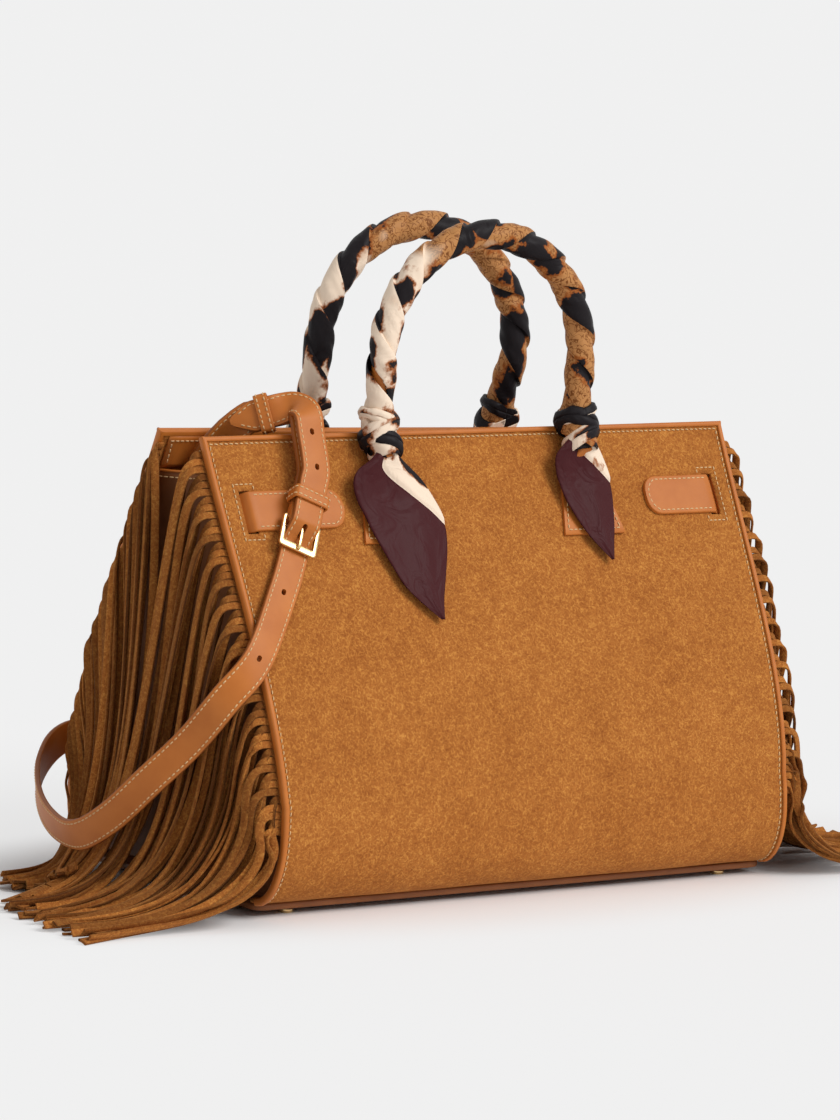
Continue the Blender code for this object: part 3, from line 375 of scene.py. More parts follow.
def stitches(bm, line, outs, pitch=0.0037, slant=0.0):
    """Single stitches pulled into the leather along a line; outs are the outward directions."""
    lengths = distances(line)
    count = max(1, int(lengths[-1] / pitch))
    step = lengths[-1] / count
    segment = 0
    for k in range(count):
        middle = (k + 0.5) * step
        while segment < len(line) - 2 and lengths[segment + 1] < middle:
            segment += 1
        part = (middle - lengths[segment]) / max(lengths[segment + 1] - lengths[segment], 1e-9)
        spot = line[segment].lerp(line[segment + 1], part)
        out = outs[segment].lerp(outs[segment + 1], part).normalized()
        way = (line[segment + 1] - line[segment]).normalized()
        way = (way + out.cross(way).normalized() * slant).normalized()
        across = out.cross(way).normalized()
        rings = []
        for shift, size, lift in STITCH_SHAPE:
            centre = spot + way * (shift * 0.5 * STITCH_SHARE * step) + out * (lift * STITCH_RADIUS)
            rings.append([centre + (across * math.cos(t) + out * math.sin(t)) * STITCH_RADIUS * size
                          for t in around(6)])
        tube_faces(bm, rings)


def wall_stitches(bm, side, spots, away=0.001, **style):
    """Stitches through wall spots (x, run, off); away is negative on the inside of the bag."""
    line = [on_wall(side, *spot) for spot in spots]
    outs = [on_wall(side, x, run, away) - on_wall(side, x, run) for x, run, _ in spots]
    stitches(bm, line, outs, **style)


def finish_seam(bm, name, body="bag"):
    """A piece of thread, which stands for no node."""
    finish_mesh(bm, f"seam_{name}", thread, body, smooth=1.2)


# Front and back walls: suede over a thin board. The edges are pressed down along the seam, and
# the front wall has two slots that the tabs come out of.
SEAM, THREAD_LIFT = 0.0050, 0.0003
SLOT_X, SLOT_WIDTH, TAB_TOP, TAB_HEIGHT, SLOT_SPARE = 0.1785, 0.0080, 0.0365, 0.0255, 0.0012


def wall_off(x, run, side):
    """Relief of a suede wall: pressed along the seam, and very slightly uneven elsewhere."""
    from_edge = min(edge_x(run) - abs(x), run)
    pressed = -0.00055 * math.exp(-((from_edge - SEAM) / 0.0011) ** 2)
    uneven = 0.0006 * noise.noise(Vector((x * 14, run * 14, side * 9)))
    return pressed + uneven * smoothstep((from_edge - 0.006) / 0.03)


margins = [LEATHER + GAP, 0.0028, 0.0040, 0.0046, 0.0052, 0.0062, 0.0080]
slot_runs = (TAB_TOP - SLOT_SPARE, TAB_TOP + TAB_HEIGHT + SLOT_SPARE)
slot_edges = (SLOT_X - 0.5 * SLOT_WIDTH, SLOT_X + 0.5 * SLOT_WIDTH)
runs = margins + spaced(0.0125, slot_runs[0], 6) + spaced(*slot_runs, 8)[1:]
runs += spaced(slot_runs[1], RUN[-1], 52)[1:]
for side, name in ((-1, "front_panel"), (1, "back_panel")):
    rows = []
    for run in runs:
        left = [m - edge_x(run) for m in margins] + [-slot_edges[1], -SLOT_X, -slot_edges[0]]
        middle = spaced(-slot_edges[0], slot_edges[0], 46)[1:-1]
        columns = left + middle + [-x for x in reversed(left)]
        rows.append([on_wall(side, x, run, wall_off(x, run, side)) for x in columns])
    slots = set()
    for r, (one, two) in enumerate(zip(runs, runs[1:])):
        if side < 0 and one > slot_runs[0] - 1e-6 and two < slot_runs[1] + 1e-6:
            slots.update((r, c) for c in (7, 8, len(columns) - 10, len(columns) - 9))
    wall = finish_mesh(grid(rows, slots), f"suede_{name}", suede, nodes=[name],
                       facing=Vector((0, side, 0)))
    thicken(wall, WALL, -1)


# Bindings: a strip of calf folded over the walls' sides and top, glued and sewn through, its two
# top corners turned. The seam runs on the suede just inside the strip.
face, lip = GAP + LEATHER, 0.0034
back = -WALL - face
section = [(lip, GAP), (lip, 0.6 * face), (lip - 0.0004, face), (0.0012, face + 0.0001),
           (0.0004, face - 0.0004), (0.0, 0.0), (0.0, -WALL), (0.0004, back + 0.0004),
           (0.0012, back), (lip, back), (lip, -WALL - GAP), (LEATHER, -WALL - GAP), (LEATHER, GAP)]
down = spaced(0.0, RUN[-1] - TUCK, 60)[2:]
corner = spaced(0, 0.5 * math.pi, 7)[1:-1]
stations = [(-1, run, 1, 0) for run in reversed(down)]
stations += [(-1, 0.0, math.cos(bend), math.sin(bend)) for bend in corner]
stations += [(x, 0.0, 0, 1) for x in spaced(-0.96, 0.96, 40)]
stations += [(1, 0.0, -math.cos(bend), math.sin(bend)) for bend in reversed(corner)]
stations += [(1, run, -1, 0) for run in down]
for side, name in ((-1, "binding_front"), (1, "binding_back")):
    rings, spots = [], []
    for share, run, inward, downward in stations:
        x = share * edge_x(run)
        rings.append([on_wall(side, x + inward * e, run + downward * e, off) for e, off in section])
        mitre = abs(abs(inward) - downward) < 0.01
        if mitre or downward in (0, 1):
            reach = SEAM * (math.sqrt(2) if mitre else 1)
            x = share * edge_x(max(run, downward * SEAM)) + inward * reach
            run += downward * reach
            spots.append((x, run, wall_off(x, run, side) + THREAD_LIFT))
    finish_calf(tube(rings), name, smooth=1.0)
    bm = bmesh.new()
    wall_stitches(bm, side, spots, slant=0.18 * side)
    finish_seam(bm, name)


# Inside of the bag: calf facings sewn along the mouth, side gussets of thinner, darker lining calf
# folded inward and edged with calf, and a base board wrapped in calf. The base is drawn in the same
# darker calf as painted shade, since it lies in the bag's own shadow.
# Darker calf of the gussets, also put on the base board, where its darkness is painted shade.
lining_and_base_shade, add = new_material("dark_calf_lining_and_base_shade")
here = add("TexCoord").outputs["Object"]
shade = add("TexNoise", {"Vector": here, "Scale": 60, "Detail": 4})
dye = add("Mix", {"Factor": shade, 6: "#6E3C14", 7: "#96592A"}, data_type="RGBA")
creases = add("TexNoise", {"Vector": here, "Scale": 1100, "Detail": 3})
grain = add("Bump", {"Strength": 0.15, "Distance": 0.0002, "Height": creases})
skin = add("BsdfPrincipled", {"Base Color": dye, "Roughness": 0.62, "Normal": grain})
add("OutputMaterial", {"Surface": skin})

INSIDE = -WALL - GAP
FACING_START, FACING_DEPTH, FACING_THICK, FACING_SEAM = 0.0038, 0.0225, 0.0012, 0.003
facing_top, facing_foot = FACING_START + FACING_SEAM, FACING_START + FACING_DEPTH - FACING_SEAM
seam_spots = [(-0.1885, facing_foot), (-0.1895, facing_top)]
seam_spots += [(x, facing_top) for x in spaced(-0.187, 0.187, 30)]
seam_spots += [(0.1895, facing_top), (0.1885, facing_foot)]
for side, name in ((-1, "facing_front"), (1, "facing_back")):
    rows = []
    for run in spaced(FACING_START, FACING_START + FACING_DEPTH, 9):
        reach = edge_x(run) - 0.0082
        rows.append([on_wall(side, x, run, INSIDE) for x in spaced(-reach, reach, 41)])
    thicken(finish_calf(grid(rows), name, facing=Vector((0, -side, 0))), FACING_THICK, 1)
    bm = bmesh.new()
    wall_stitches(bm, side, [(x, run, INSIDE - FACING_THICK - 0.0002) for x, run in seam_spots],
                  away=-0.001)
    finish_seam(bm, name)

GUSSET_TOP, GUSSET_INSET, GUSSET_FOLD, GUSSET_THICK = 0.0290, 0.0086, 0.022, 0.0016
EDGE_HALF_WIDTH, EDGE_HALF_HEIGHT = 0.0013, 0.0009
for end, name in ((-1, "gusset_left"), (1, "gusset_right")):
    rows = []
    for run in spaced(GUSSET_TOP, RUN[-1] - TUCK, 60):
        x = end * (edge_x(run) - GUSSET_INSET)
        front, back = on_wall(-1, x, run, INSIDE), on_wall(1, x, run, INSIDE)
        fold = GUSSET_FOLD * smoothstep(1.25 - run / (0.6 * RUN[-1]))
        row = []
        for part in spaced(0, 1, 33):
            point = front.lerp(back, part)
            point.x -= end * fold * smoothstep(1 - abs(2 * part - 1))
            sag = 0.0012 * (0.5 + noise.noise(point * 26))
            point.x -= end * sag * math.sin(math.pi * part)
            row.append(point)
        rows.append(row)
    gusset = finish_mesh(grid(rows), f"lining_{name}", lining_and_base_shade, nodes=[name],
                         smooth=1.0, facing=Vector((end, 0, 0)))
    thicken(gusset, GUSSET_THICK, -1)
    line = [p + Vector((end * 0.0002, 0, -0.0035)) for p in rows[0]]
    bm = bmesh.new()
    stitches(bm, line, [Vector((end, 0, 0))] * len(line))
    finish_seam(bm, name)
    rings = []
    for p in rows[0]:
        centre = p + Vector((-end * 0.5 * GUSSET_THICK, 0, 0.0002))
        rings.append([centre + Vector((math.cos(t) * EDGE_HALF_WIDTH, 0,
                                       math.sin(t) * EDGE_HALF_HEIGHT)) for t in around(12)])
    finish_mesh(tube(rings), f"edge_{name}", calf, smooth=1.2)

corner, room = 0.008, 0.0012
half_x, half_y = half_width(FOOT_HEIGHT) - room, BASE_HALF - TURN_UNDER + room
outline = []
for quarter, (sx, sy) in enumerate(((1, 1), (-1, 1), (-1, -1), (1, -1))):
    for bend in spaced(0.5 * math.pi * quarter, 0.5 * math.pi * (quarter + 1), 9):
        outline.append((sx * (half_x - corner) + math.cos(bend) * corner,
                        sy * (half_y - corner) + math.sin(bend) * corner))
profile = ((0, 0.003), (0, 0.0011), (0.0003, 0.0004), (0.0010, 0))
rings = []
for height, shrink in profile + tuple((BASE_THICK - h, s) for h, s in reversed(profile)):
    rings.append([Vector((x * (1 - shrink / half_x), y * (1 - shrink / half_y),
                          FOOT_HEIGHT + height)) for x, y in outline])
# The base board takes the darker gusset calf: painted shade for the strip in shadow under the bag.
finish_mesh(tube(rings), "calf_base", lining_and_base_shade, nodes=["base"], smooth=0.7)


# Feet: four turned brass studs with pale gold plating, screwed through the base. Handling leaves
# the plating slightly uneven in gloss.
gold, add = new_material("pale_gold_plated_brass")
here = add("TexCoord").outputs["Object"]
handling = add("TexNoise", {"Vector": here, "Scale": 700, "Detail": 3})
polish = add("MapRange", {"Value": handling, "To Min": 0.10, "To Max": 0.24})
skin = add("BsdfPrincipled", {"Base Color": "#DFC08A", "Metallic": 1.0, "Roughness": polish})
add("OutputMaterial", {"Surface": skin})

STUD_X, STUD_Y = 0.1668, 0.0864
STUD_PROFILE = ((0.0030, 0.0), (0.0038, 0.0001), (0.0043, 0.0006), (0.0045, 0.0014),
                (0.0044, 0.0022), (0.0036, 0.0028), (0.0029, 0.0031), (0.0028, 0.0040))
for end, hand in ((-1, "left"), (1, "right")):
    for side, place_name in ((-1, "front"), (1, "back")):
        rings = [[Vector((end * STUD_X + radius * math.cos(t), side * STUD_Y + radius * math.sin(t),
                          height)) for t in around(40)] for radius, height in STUD_PROFILE]
        finish_mesh(tube(rings), f"stud_{place_name}_{hand}", gold,
                    nodes=[f"foot_{place_name}_{hand}"], smooth=0.8)


# Side fringe: one strip of suede to each side edge, sewn behind the binding and cut into strands
# 5.2 mm wide, which lie three deep. Each leaves the edge over a small arch, hangs in its own lane,
# twists a little, and runs out along the ground, rolled to one side.
STRANDS, STRAND_WIDTH, STRAND_THICK = 50, 0.0052, 0.0016
STRAND_BEVEL, STRAND_ROOT = 0.00035, -WALL - LEATHER - 0.0017
FRINGE_START, FRINGE_LENGTH, FRINGE_HALF_DEPTH = 0.0075, 0.2425, 0.1255


def heading_at(path, k):
    """The direction of a line at its point k."""
    return (path[min(k + 1, len(path) - 1)] - path[max(k - 1, 0)]).normalized()


def between(a, b, c, d, t):
    """The value at part t from b to c on a smooth curve through all four."""
    return (b * 2 + (c - a) * t + (a * 2 - b * 5 + c * 4 - d) * t * t
            + (b * 3 - a - c * 3 + d) * t**3) * 0.5


def curve_through(points, steps):
    """A smooth line through the points."""
    ends = [points[0] * 2 - points[1]] + list(points) + [points[-1] * 2 - points[-2]]
    path = [between(*ends[k - 1:k + 3], step / steps)
            for k in range(1, len(ends) - 2) for step in range(steps)]
    return path + [points[-1].copy()]


def strap_spot(side, x, run, off, way=1):
    """A strap's point off a wall and its outward direction."""
    spot = on_wall(side, x, run, off)
    return spot, (on_wall(side, x, run, off + 0.001) - spot).normalized() * way


# The shoulder strap's way round the left side, inside which the strands there are drawn.
ROUND_LEFT_SIDE = [strap_spot(-1, -0.1714, 0.1030, 0.0042), strap_spot(-1, -0.2002, 0.1435, 0.0052)]
ROUND_LEFT_SIDE += [(Vector(row[:3]), Vector(row[3:])) for row in (
    (-0.2210, -0.0915, 0.1333, -0.50, -0.82, 0.28), (-0.2320, -0.0723, 0.1055, -0.60, -0.76, 0.22),
    (-0.2470, -0.0535, 0.0804, -0.68, -0.70, 0.15), (-0.2590, -0.0296, 0.0545, -0.84, -0.48, -0.10),
    (-0.2640, -0.0024, 0.0395, -0.84, 0.42, -0.34), (-0.2590, 0.0330, 0.0400, -0.90, 0.38, -0.20),
    (-0.2460, 0.0700, 0.0480, -0.86, 0.50, -0.10), (-0.2250, 0.1040, 0.0610, -0.68, 0.73, 0.0),
    (-0.1970, 0.1228, 0.0750, -0.25, 0.97, 0.0))]


def keep_inside_strap(point, room):
    """Moves a left-hand strand's point to the bag's side of the shoulder strap."""
    best, push, way = 1.0, 0.0, None
    for (a, out_a), (b, out_b) in zip(ROUND_LEFT_SIDE, ROUND_LEFT_SIDE[1:]):
        line = b - a
        part = min(max((point - a).dot(line) / line.length_squared, 0.0), 1.0)
        out = out_a.lerp(out_b, part).normalized()
        stands = (point - a.lerp(b, part)).dot(out)
        away = (point - a.lerp(b, part) - out * stands).length
        if away < best:
            best, push, way = away, stands + room, out
    if push > 0:
        point -= way * push * smoothstep((0.030 - best) / 0.018)


def draw_strand(bm, tone, side, end, number, drift, dice):
    """One strand, from behind the binding to its tip on the ground."""
    front, share, layer = side < 0, (number + 0.5) / STRANDS, number % 3
    run = FRINGE_START + FRINGE_LENGTH * share
    root = on_wall(side, end * edge_x(run), run, STRAND_ROOT)
    tilt = (on_wall(side, 0, run + 0.002) - on_wall(side, 0, run - 0.002)).normalized()
    clump = drift[int(share * 11)] * 0.6 + dice.uniform(-0.4, 0.4)
    arch = 0.0056 + 0.0046 * layer if front else 0.0035 + 0.0024 * layer
    arch += dice.uniform(-0.0015, 0.0025)
    lane = 0.005 + (0.1185 if front else 0.1000) * share + 0.0055 * clump * (1 - abs(2 * share - 1))
    lane = min(max(lane + dice.uniform(-0.004, 0.004), 0.003), 0.1245)
    flare = (0.075 if front else 0.050) + 0.05 * dice.random() + 0.02 * clump
    low = min(0.22 * root.z + 0.014 + dice.uniform(0, 0.014), 0.60 * root.z, 0.066)
    lies = lane if front else 0.5 * lane
    outermost = 0.122 + 0.027 * share if front else 0.116 - 0.6 * lies
    reach = outermost - abs(dice.gauss(0, 0.013))
    rolled = dice.uniform(-1.0, 1.0)
    ground = 0.5 * STRAND_THICK + 0.0015 * layer + 0.5 * STRAND_WIDTH * abs(math.sin(rolled))
    fall = root.z - low
    ease = min(fall / 0.060, 1.0)
    wave = dice.uniform(-0.003, 0.003)
    at_bend = arch + flare * fall
    along = max(reach - at_bend, 0.03)

    def spot(out, y, z):
        return Vector((root.x + end * out, side * y, z))

    def toward_lane(part):
        return abs(root.y) + (lane - abs(root.y)) * part

    path = curve_through([
        root - Vector((end * 0.003, 0, 0)), root,
        spot(0.6 * arch, abs(root.y) + 0.0002, root.z + 0.0010),
        spot(arch, toward_lane(0.10), root.z - 0.0045 * ease),
        spot(arch + 0.0014, toward_lane(0.32), root.z - (0.0170 + 0.002 * layer) * ease),
        spot(arch + flare * fall * 0.40 + wave, toward_lane(0.68) + wave, root.z - 0.45 * fall),
        spot(at_bend - 0.004, toward_lane(0.88) - wave, low + 0.12 * fall),
        spot(at_bend + 0.14 * along, lane + 0.3 * (lies - lane), 0.50 * low),
        spot(at_bend + 0.38 * along, lane + 0.6 * (lies - lane), ground + 0.14 * low),
        spot(at_bend + 0.68 * along, lies + 1.6 * wave + dice.uniform(-0.006, 0.006),
             ground + 0.0008),
        spot(reach, lies + dice.uniform(-0.015, 0.015), ground)], 4)
    for p in path:
        p.z = max(p.z, ground)
        p.y = max(min(p.y, FRINGE_HALF_DEPTH), -FRINGE_HALF_DEPTH)
        if end < 0:
            keep_inside_strap(p, 0.0042 + 0.0012 * layer)
    for _ in range(4 if end > 0 else 10 if front else 26):
        path[6:-1] = [(a + b * 2 + c) / 4 for a, b, c in zip(path[5:], path[6:], path[7:])]
    turn_at, turn_more = dice.uniform(-1.1, 1.1), dice.uniform(-0.9, 0.9)
    rings = []
    for j, p in enumerate(path):
        heading = heading_at(path, j)
        turned = turn_at + turn_more * j / len(path)
        wide = Vector((end * math.sin(turned), side * math.cos(turned), 0))
        lying = Vector((0, side * math.cos(rolled), math.sin(rolled)))
        wide = tilt.lerp(wide.lerp(lying, smoothstep((j - 26) / 8)), smoothstep((j - 6) / 10))
        wide = (wide - heading * wide.dot(heading)).normalized()
        thick = heading.cross(wide)
        w, t = STRAND_WIDTH * (0.43 + 0.07 * smoothstep((j - 8) / 5)), 0.5 * STRAND_THICK
        b = STRAND_BEVEL
        rings.append([p + wide * u + thick * v for u, v in (
            (w, t - b), (w - b, t), (b - w, t), (-w, t - b), (-w, b - t), (b - w, -t),
            (w - b, -t), (w, b - t))])
    # Random tone per strand, plus painted shade: +0.30 on the innermost layer and +0.9 on the long
    # edges, the edges partly real cut-edge darkening and partly painted shade.
    tone_and_shade = 1.3 * dice.random() ** 1.2 + (0.30 if layer == 0 else 0.0)
    for ring in tube_faces(bm, rings):
        for corner, vert in enumerate(ring):
            vert[tone] = tone_and_shade + (0.9 if corner in (0, 3, 4, 7) else 0.0)


for side, place_name in ((-1, "front"), (1, "back")):
    for end, hand in ((-1, "left"), (1, "right")):
        dice = random.Random(40 + 2 * side + end)
        bm = bmesh.new()
        tone = bm.verts.layers.float.new("tone")
        drift = [dice.uniform(-1, 1) for _ in range(12)]
        for number in range(STRANDS):
            draw_strand(bm, tone, side, end, number, drift, dice)
        strip = [[on_wall(side, end * (edge_x(run) - m), run, off) for m, off in (
            (0.0040, -0.0043), (0.0005, -0.0043), (0.0005, -0.0058), (0.0040, -0.0058))]
            for run in spaced(FRINGE_START, FRINGE_START + FRINGE_LENGTH, 60)]
        tube_faces(bm, strip)
        name = f"fringe_{place_name}_{hand}"
        finish_mesh(bm, f"suede_{name}", suede, nodes=[name], smooth=0.8)


# Tabs: two plies of calf, edge-stitched, that come out of a slot and lie along the front wall.
# The left one runs on under the strap's buckle; the slots are framed with stitching.
TAB_THICK, TAB_CORNER, TAB_SEAM = 0.0022, 0.0105, 0.0024
FRAME_OUT, FRAME_SIDE, FRAME_PITCH = 0.0052, 0.0032, 0.0034
tab_middle = TAB_TOP + 0.5 * TAB_HEIGHT
outside, inside = GAP + 0.5 * TAB_THICK, INSIDE - 0.5 * TAB_THICK
section = [(u, 0.5 * TAB_THICK + raised) for u, raised in (
    (-0.5, -0.00045), (-0.485, -0.00012), (-0.46, 0), (-0.25, 0.0003), (0.0, 0.0003),
    (0.25, 0.0003), (0.46, 0), (0.485, -0.00012), (0.5, -0.00045))]
section += [(u, -0.5 * TAB_THICK) for u in (0.5, 0.0, -0.5)]
for end, tip, name in ((-1, 0.1100, "tab_left"), (1, 0.1240, "tab_right")):
    stations = [(tip + TAB_CORNER * (1 - math.cos(bend)), TAB_HEIGHT - 0.021 * (1 - math.sin(bend)),
                 outside) for bend in spaced(0, 0.5 * math.pi, 11)]
    stations += [(x, TAB_HEIGHT, outside) for x in spaced(tip + 0.014, SLOT_X - 0.006, 12)]
    for part in spaced(0.1, 0.9, 9):
        stations.append((SLOT_X + 0.5 * SLOT_WIDTH * (2 * part - 1) * 0.62, TAB_HEIGHT,
                         outside + (inside - outside) * smoothstep(part)))
    stations += [(SLOT_X + 0.005, TAB_HEIGHT, inside), (SLOT_X + 0.0075, TAB_HEIGHT, inside)]
    lie = [Vector((x, off)) for x, _, off in stations]
    rings = []
    for k, (x, tall, level_off) in enumerate(stations):
        slope = heading_at(lie, k)
        rings.append([on_wall(-1, end * (x - slope.y * off), tab_middle + u * tall,
                              level_off + slope.x * off) for u, off in section])
    finish_calf(tube(rings), name, smooth=1.0)
    top_off = outside + 0.5 * TAB_THICK + 0.0001
    straight = spaced(SLOT_X - 0.0040, tip + TAB_CORNER, 14)
    row = [(x, TAB_TOP + TAB_SEAM) for x in straight]
    for bend in spaced(0.5 * math.pi, -0.5 * math.pi, 11)[1:-1]:
        row.append((tip + TAB_CORNER - (TAB_CORNER - TAB_SEAM) * math.cos(bend),
                    tab_middle - (0.5 * TAB_HEIGHT - TAB_SEAM) * math.sin(bend)))
    row += [(x, TAB_TOP + TAB_HEIGHT - TAB_SEAM) for x in reversed(straight)]
    bm = bmesh.new()
    wall_stitches(bm, -1, [(end * x, run, top_off) for x, run in row])
    low, high = TAB_TOP - FRAME_OUT, TAB_TOP + TAB_HEIGHT + FRAME_OUT
    near, far = SLOT_X - 0.5 * SLOT_WIDTH - FRAME_SIDE, SLOT_X + 0.5 * SLOT_WIDTH + FRAME_SIDE
    framed = [Vector(p) for p in ((near, low + 0.004), (near, low), (far, low), (far, high),
                                  (near, high), (near, high - 0.004))]
    row = [a.lerp(b, t) for a, b in zip(framed, framed[1:]) for t in spaced(0, 1, 8)[:-1]]
    wall_stitches(bm, -1, [(end * x, run, 0.0002) for x, run in row + framed[-1:]],
                  pitch=FRAME_PITCH)
    finish_seam(bm, name)


# Handles: calf rolled round a cord and sewn shut, 12 mm across. Each end is pressed flat, spreads
# into a tapered chape and is sewn to the wall along its two sides and its foot.
HANDLE_SPAN, HANDLE_RADIUS, HANDLE_STANDOFF, HANDLE_SIDES = 0.0765, 0.0060, 0.0108, 28
ARCH_BASE, ARCH_RISE, APEX_DEPTH = 0.3280, 0.0770, 0.0345
CHAPE_HIGH, CHAPE_LOW, CHAPE_HIGH_HALF, CHAPE_LOW_HALF = 0.0370, 0.0730, 0.0155, 0.0235
NECK_THICK, CHAPE_THICK, NECK_LIFT, CHAPE_SEAM = 0.0045, 0.0020, 0.0022, 0.0026


def handle_stations(side):
    """The handle's centre line, from its right foot over the arch to its left foot."""
    legs = []
    for end in (1, -1):
        leg = [on_wall(side, end * HANDLE_SPAN, run, HANDLE_STANDOFF)
               for run in (0.0215, 0.0100, 0.0)]
        top = leg[-1]
        for part in (0.35, 0.68, 1.0):
            depth = abs(top.y) + (APEX_DEPTH - abs(top.y)) * smoothstep(part)
            leg.append(Vector((end * HANDLE_SPAN, side * depth,
                               top.z + (ARCH_BASE - top.z) * part)))
        legs.append(leg)
    arch = []
    for part in spaced(0, 1, 13)[1:-1]:
        depth = legs[0][-1].y * (1 - part) + legs[1][-1].y * part
        arch.append(Vector((HANDLE_SPAN * math.cos(math.pi * part), depth,
                            ARCH_BASE + ARCH_RISE * math.sin(math.pi * part))))
    return legs[0] + arch + legs[1][::-1]


def frames_along(path, ways):
    """Point, heading, outward and across at each point of a path; ways are roughly outward."""
    frames = []
    for k, (spot, way) in enumerate(zip(path, ways)):
        heading = heading_at(path, k)
        out = (way - heading * way.dot(heading)).normalized()
        frames.append((spot, heading, out, heading.cross(out)))
    return frames


def handle_frames(side, steps):
    """Frames along a handle's centre line, outward being away from the bag."""
    path = curve_through(handle_stations(side), steps)
    return frames_along(path, [Vector((0, side, 0))] * len(path))


def chape_half(run):
    """Half the chape's width at a run."""
    part = max(run - CHAPE_HIGH, 0) / (CHAPE_LOW - CHAPE_HIGH)
    return CHAPE_HIGH_HALF + (CHAPE_LOW_HALF - CHAPE_HIGH_HALF) * part


for side, place_name in ((-1, "front"), (1, "back")):
    frames = handle_frames(side, 4)
    rings = [[spot + (out * math.cos(t) + across * math.sin(t)) * HANDLE_RADIUS
              for t in around(HANDLE_SIDES)] for spot, _, out, across in frames]
    seam = bmesh.new()
    for end in (1, -1):
        direction = 1.0 if frames[0 if end > 0 else -1][3].x > 0 else -1.0
        chape = []
        for run in [0.0290, 0.0330] + spaced(CHAPE_HIGH, CHAPE_LOW, 9) + [CHAPE_LOW + 0.0004]:
            spread = smoothstep((run - 0.026) / 0.011)
            half = chape_half(run) - CHAPE_HIGH_HALF * 0.45 * (1 - spread)
            thick = NECK_THICK + (CHAPE_THICK - NECK_THICK) * spread
            lift = NECK_LIFT + (GAP - NECK_LIFT) * spread
            if run > CHAPE_LOW:
                half, thick, lift = half - 0.0005, thick - 0.0008, lift + 0.0004
            ring = []
            for t in around(HANDLE_SIDES):
                flat = max(-1.0, min(1.0, 1.25 * math.sin(t)))
                level_at = max(-1.0, min(1.0, 2.4 * math.cos(t)))
                ring.append(on_wall(side, end * HANDLE_SPAN + direction * flat * half, run,
                                    lift + 0.5 * thick * (1 + level_at)))
            chape.append(ring)
        rings = chape[::-1] + rings if end > 0 else rings + chape
        down = spaced(CHAPE_HIGH - 0.004, CHAPE_LOW - 0.0030, 12)
        row = [(-1, run) for run in down] + [(u, CHAPE_LOW - 0.0028) for u in spaced(-0.9, 0.9, 12)]
        row += [(1, run) for run in reversed(down)]
        wall_stitches(seam, side, [(end * HANDLE_SPAN + u * (chape_half(run) - CHAPE_SEAM), run,
                                    0.0025) for u, run in row])
    finish_calf(tube(rings), f"handle_{place_name}")
    finish_seam(seam, f"handle_{place_name}")


# Scarves: printed silk twill, a ribbon wound round each handle with two folded edges that run
# slantwise down it, tied in a knot of three turns at each leg, its pointed ends left to hang. On
# the front left leg the wrap gapes and shows the calf.
twill, add = new_material("printed_silk_twill")
# The print: black animal spots about 30 mm apart with singed edges, on a ground that changes from
# cream on the left legs to speckled tan on the rest; the turned ends are plain maroon.
ribbon = add("UVMap", uv_map="ribbon")
zone = add("Attribute", attribute_name="ground").outputs["Fac"]
ragged = add("TexNoise", {"Vector": ribbon, "Scale": 55, "Detail": 3, "Roughness": 0.55})
shift = add("VectorMath", {0: ragged.outputs["Color"], 1: (0.5, 0.5, 0.5)}, operation="SUBTRACT")
shift = add("VectorMath", {0: shift, "Scale": 0.024}, operation="SCALE")
drawn = add("VectorMath", {0: ribbon, 1: shift}, operation="ADD")
cells = add("TexVoronoi", {"Vector": drawn, "Scale": 31, "Randomness": 0.8})
fray = add("TexNoise", {"Vector": ribbon, "Scale": 700, "Detail": 3, "Roughness": 0.7})
rim = add("Math", {0: fray, 1: 0.10, 2: cells}, operation="MULTIPLY_ADD")
black = add("MapRange", {"Value": rim, "From Min": 0.545, "From Max": 0.575, "To Min": 1.0,
                         "To Max": 0.0})
singed = add("MapRange", {"Value": rim, "From Min": 0.56, "From Max": 0.64, "To Min": 1.0,
                          "To Max": 0.0}, interpolation_type="SMOOTHSTEP")
scribble = add("TexNoise", {"Vector": ribbon, "Scale": 240, "Detail": 1.5, "Distortion": 1.0})
dash = middle_lines(add, scribble, 0.015, 0.055)
speckled = add("Mix", {"Factor": dash, 6: "#B9824F", 7: "#7C4A24"}, data_type="RGBA")
patch = add("TexNoise", {"Vector": ribbon, "Scale": 40, "Detail": 1})
wander = add("Math", {0: patch, 1: 0.9, 2: zone}, operation="MULTIPLY_ADD")
is_tan = add("MapRange", {"Value": wander, "From Min": 0.78, "From Max": 0.98})
is_plain = add("Math", {0: zone, 1: -0.5}, operation="LESS_THAN")
is_black = add("Math", {0: zone, 1: 2.5}, operation="GREATER_THAN")
printed = "#F1DBC4"
for share, ink in ((is_tan, speckled), (singed, "#9C5522"), (black, "#1F1B1D"),
                   (is_plain, "#42191C"), (is_black, "#1F1B1D")):
    printed = add("Mix", {"Factor": share, 6: printed, 7: ink}, data_type="RGBA")
# The twill line, too fine to show, is drawn 0.7 mm apart, over broader soft folds.
weave = add("TexWave", {"Vector": ribbon, "Scale": 620, "Distortion": 0.4},
            bands_direction="DIAGONAL").outputs["Fac"]
relief = add("Bump", {"Strength": 0.10, "Distance": 0.0001, "Height": weave})
soft_folds = add("TexNoise", {"Vector": ribbon, "Scale": 60, "Detail": 2, "Distortion": 1.5})
relief = add("Bump", {"Strength": 0.35, "Distance": 0.004, "Height": soft_folds, "Normal": relief})
skin = add("BsdfPrincipled", {
    "Base Color": printed, "Roughness": 0.46, "Specular IOR Level": 0.09, "Normal": relief})
add("OutputMaterial", {"Surface": skin})

SILK_THICK, WRAP_RADIUS, LAP_PITCH, WRAP_SIDES = 0.0005, 0.0070, 0.0270, 48
WRAP_ROUND = 2 * math.pi * 0.0092
SLIT_AT, SLIT_HALF = 0.054, 0.0135
KNOT_LENGTH, KNOT_SWELL, OFF_WALL = 0.0300, 0.0016, 0.0022 - HANDLE_STANDOFF
BLACK, CREAM, MAROON = 3.0, 0.0, -1.0
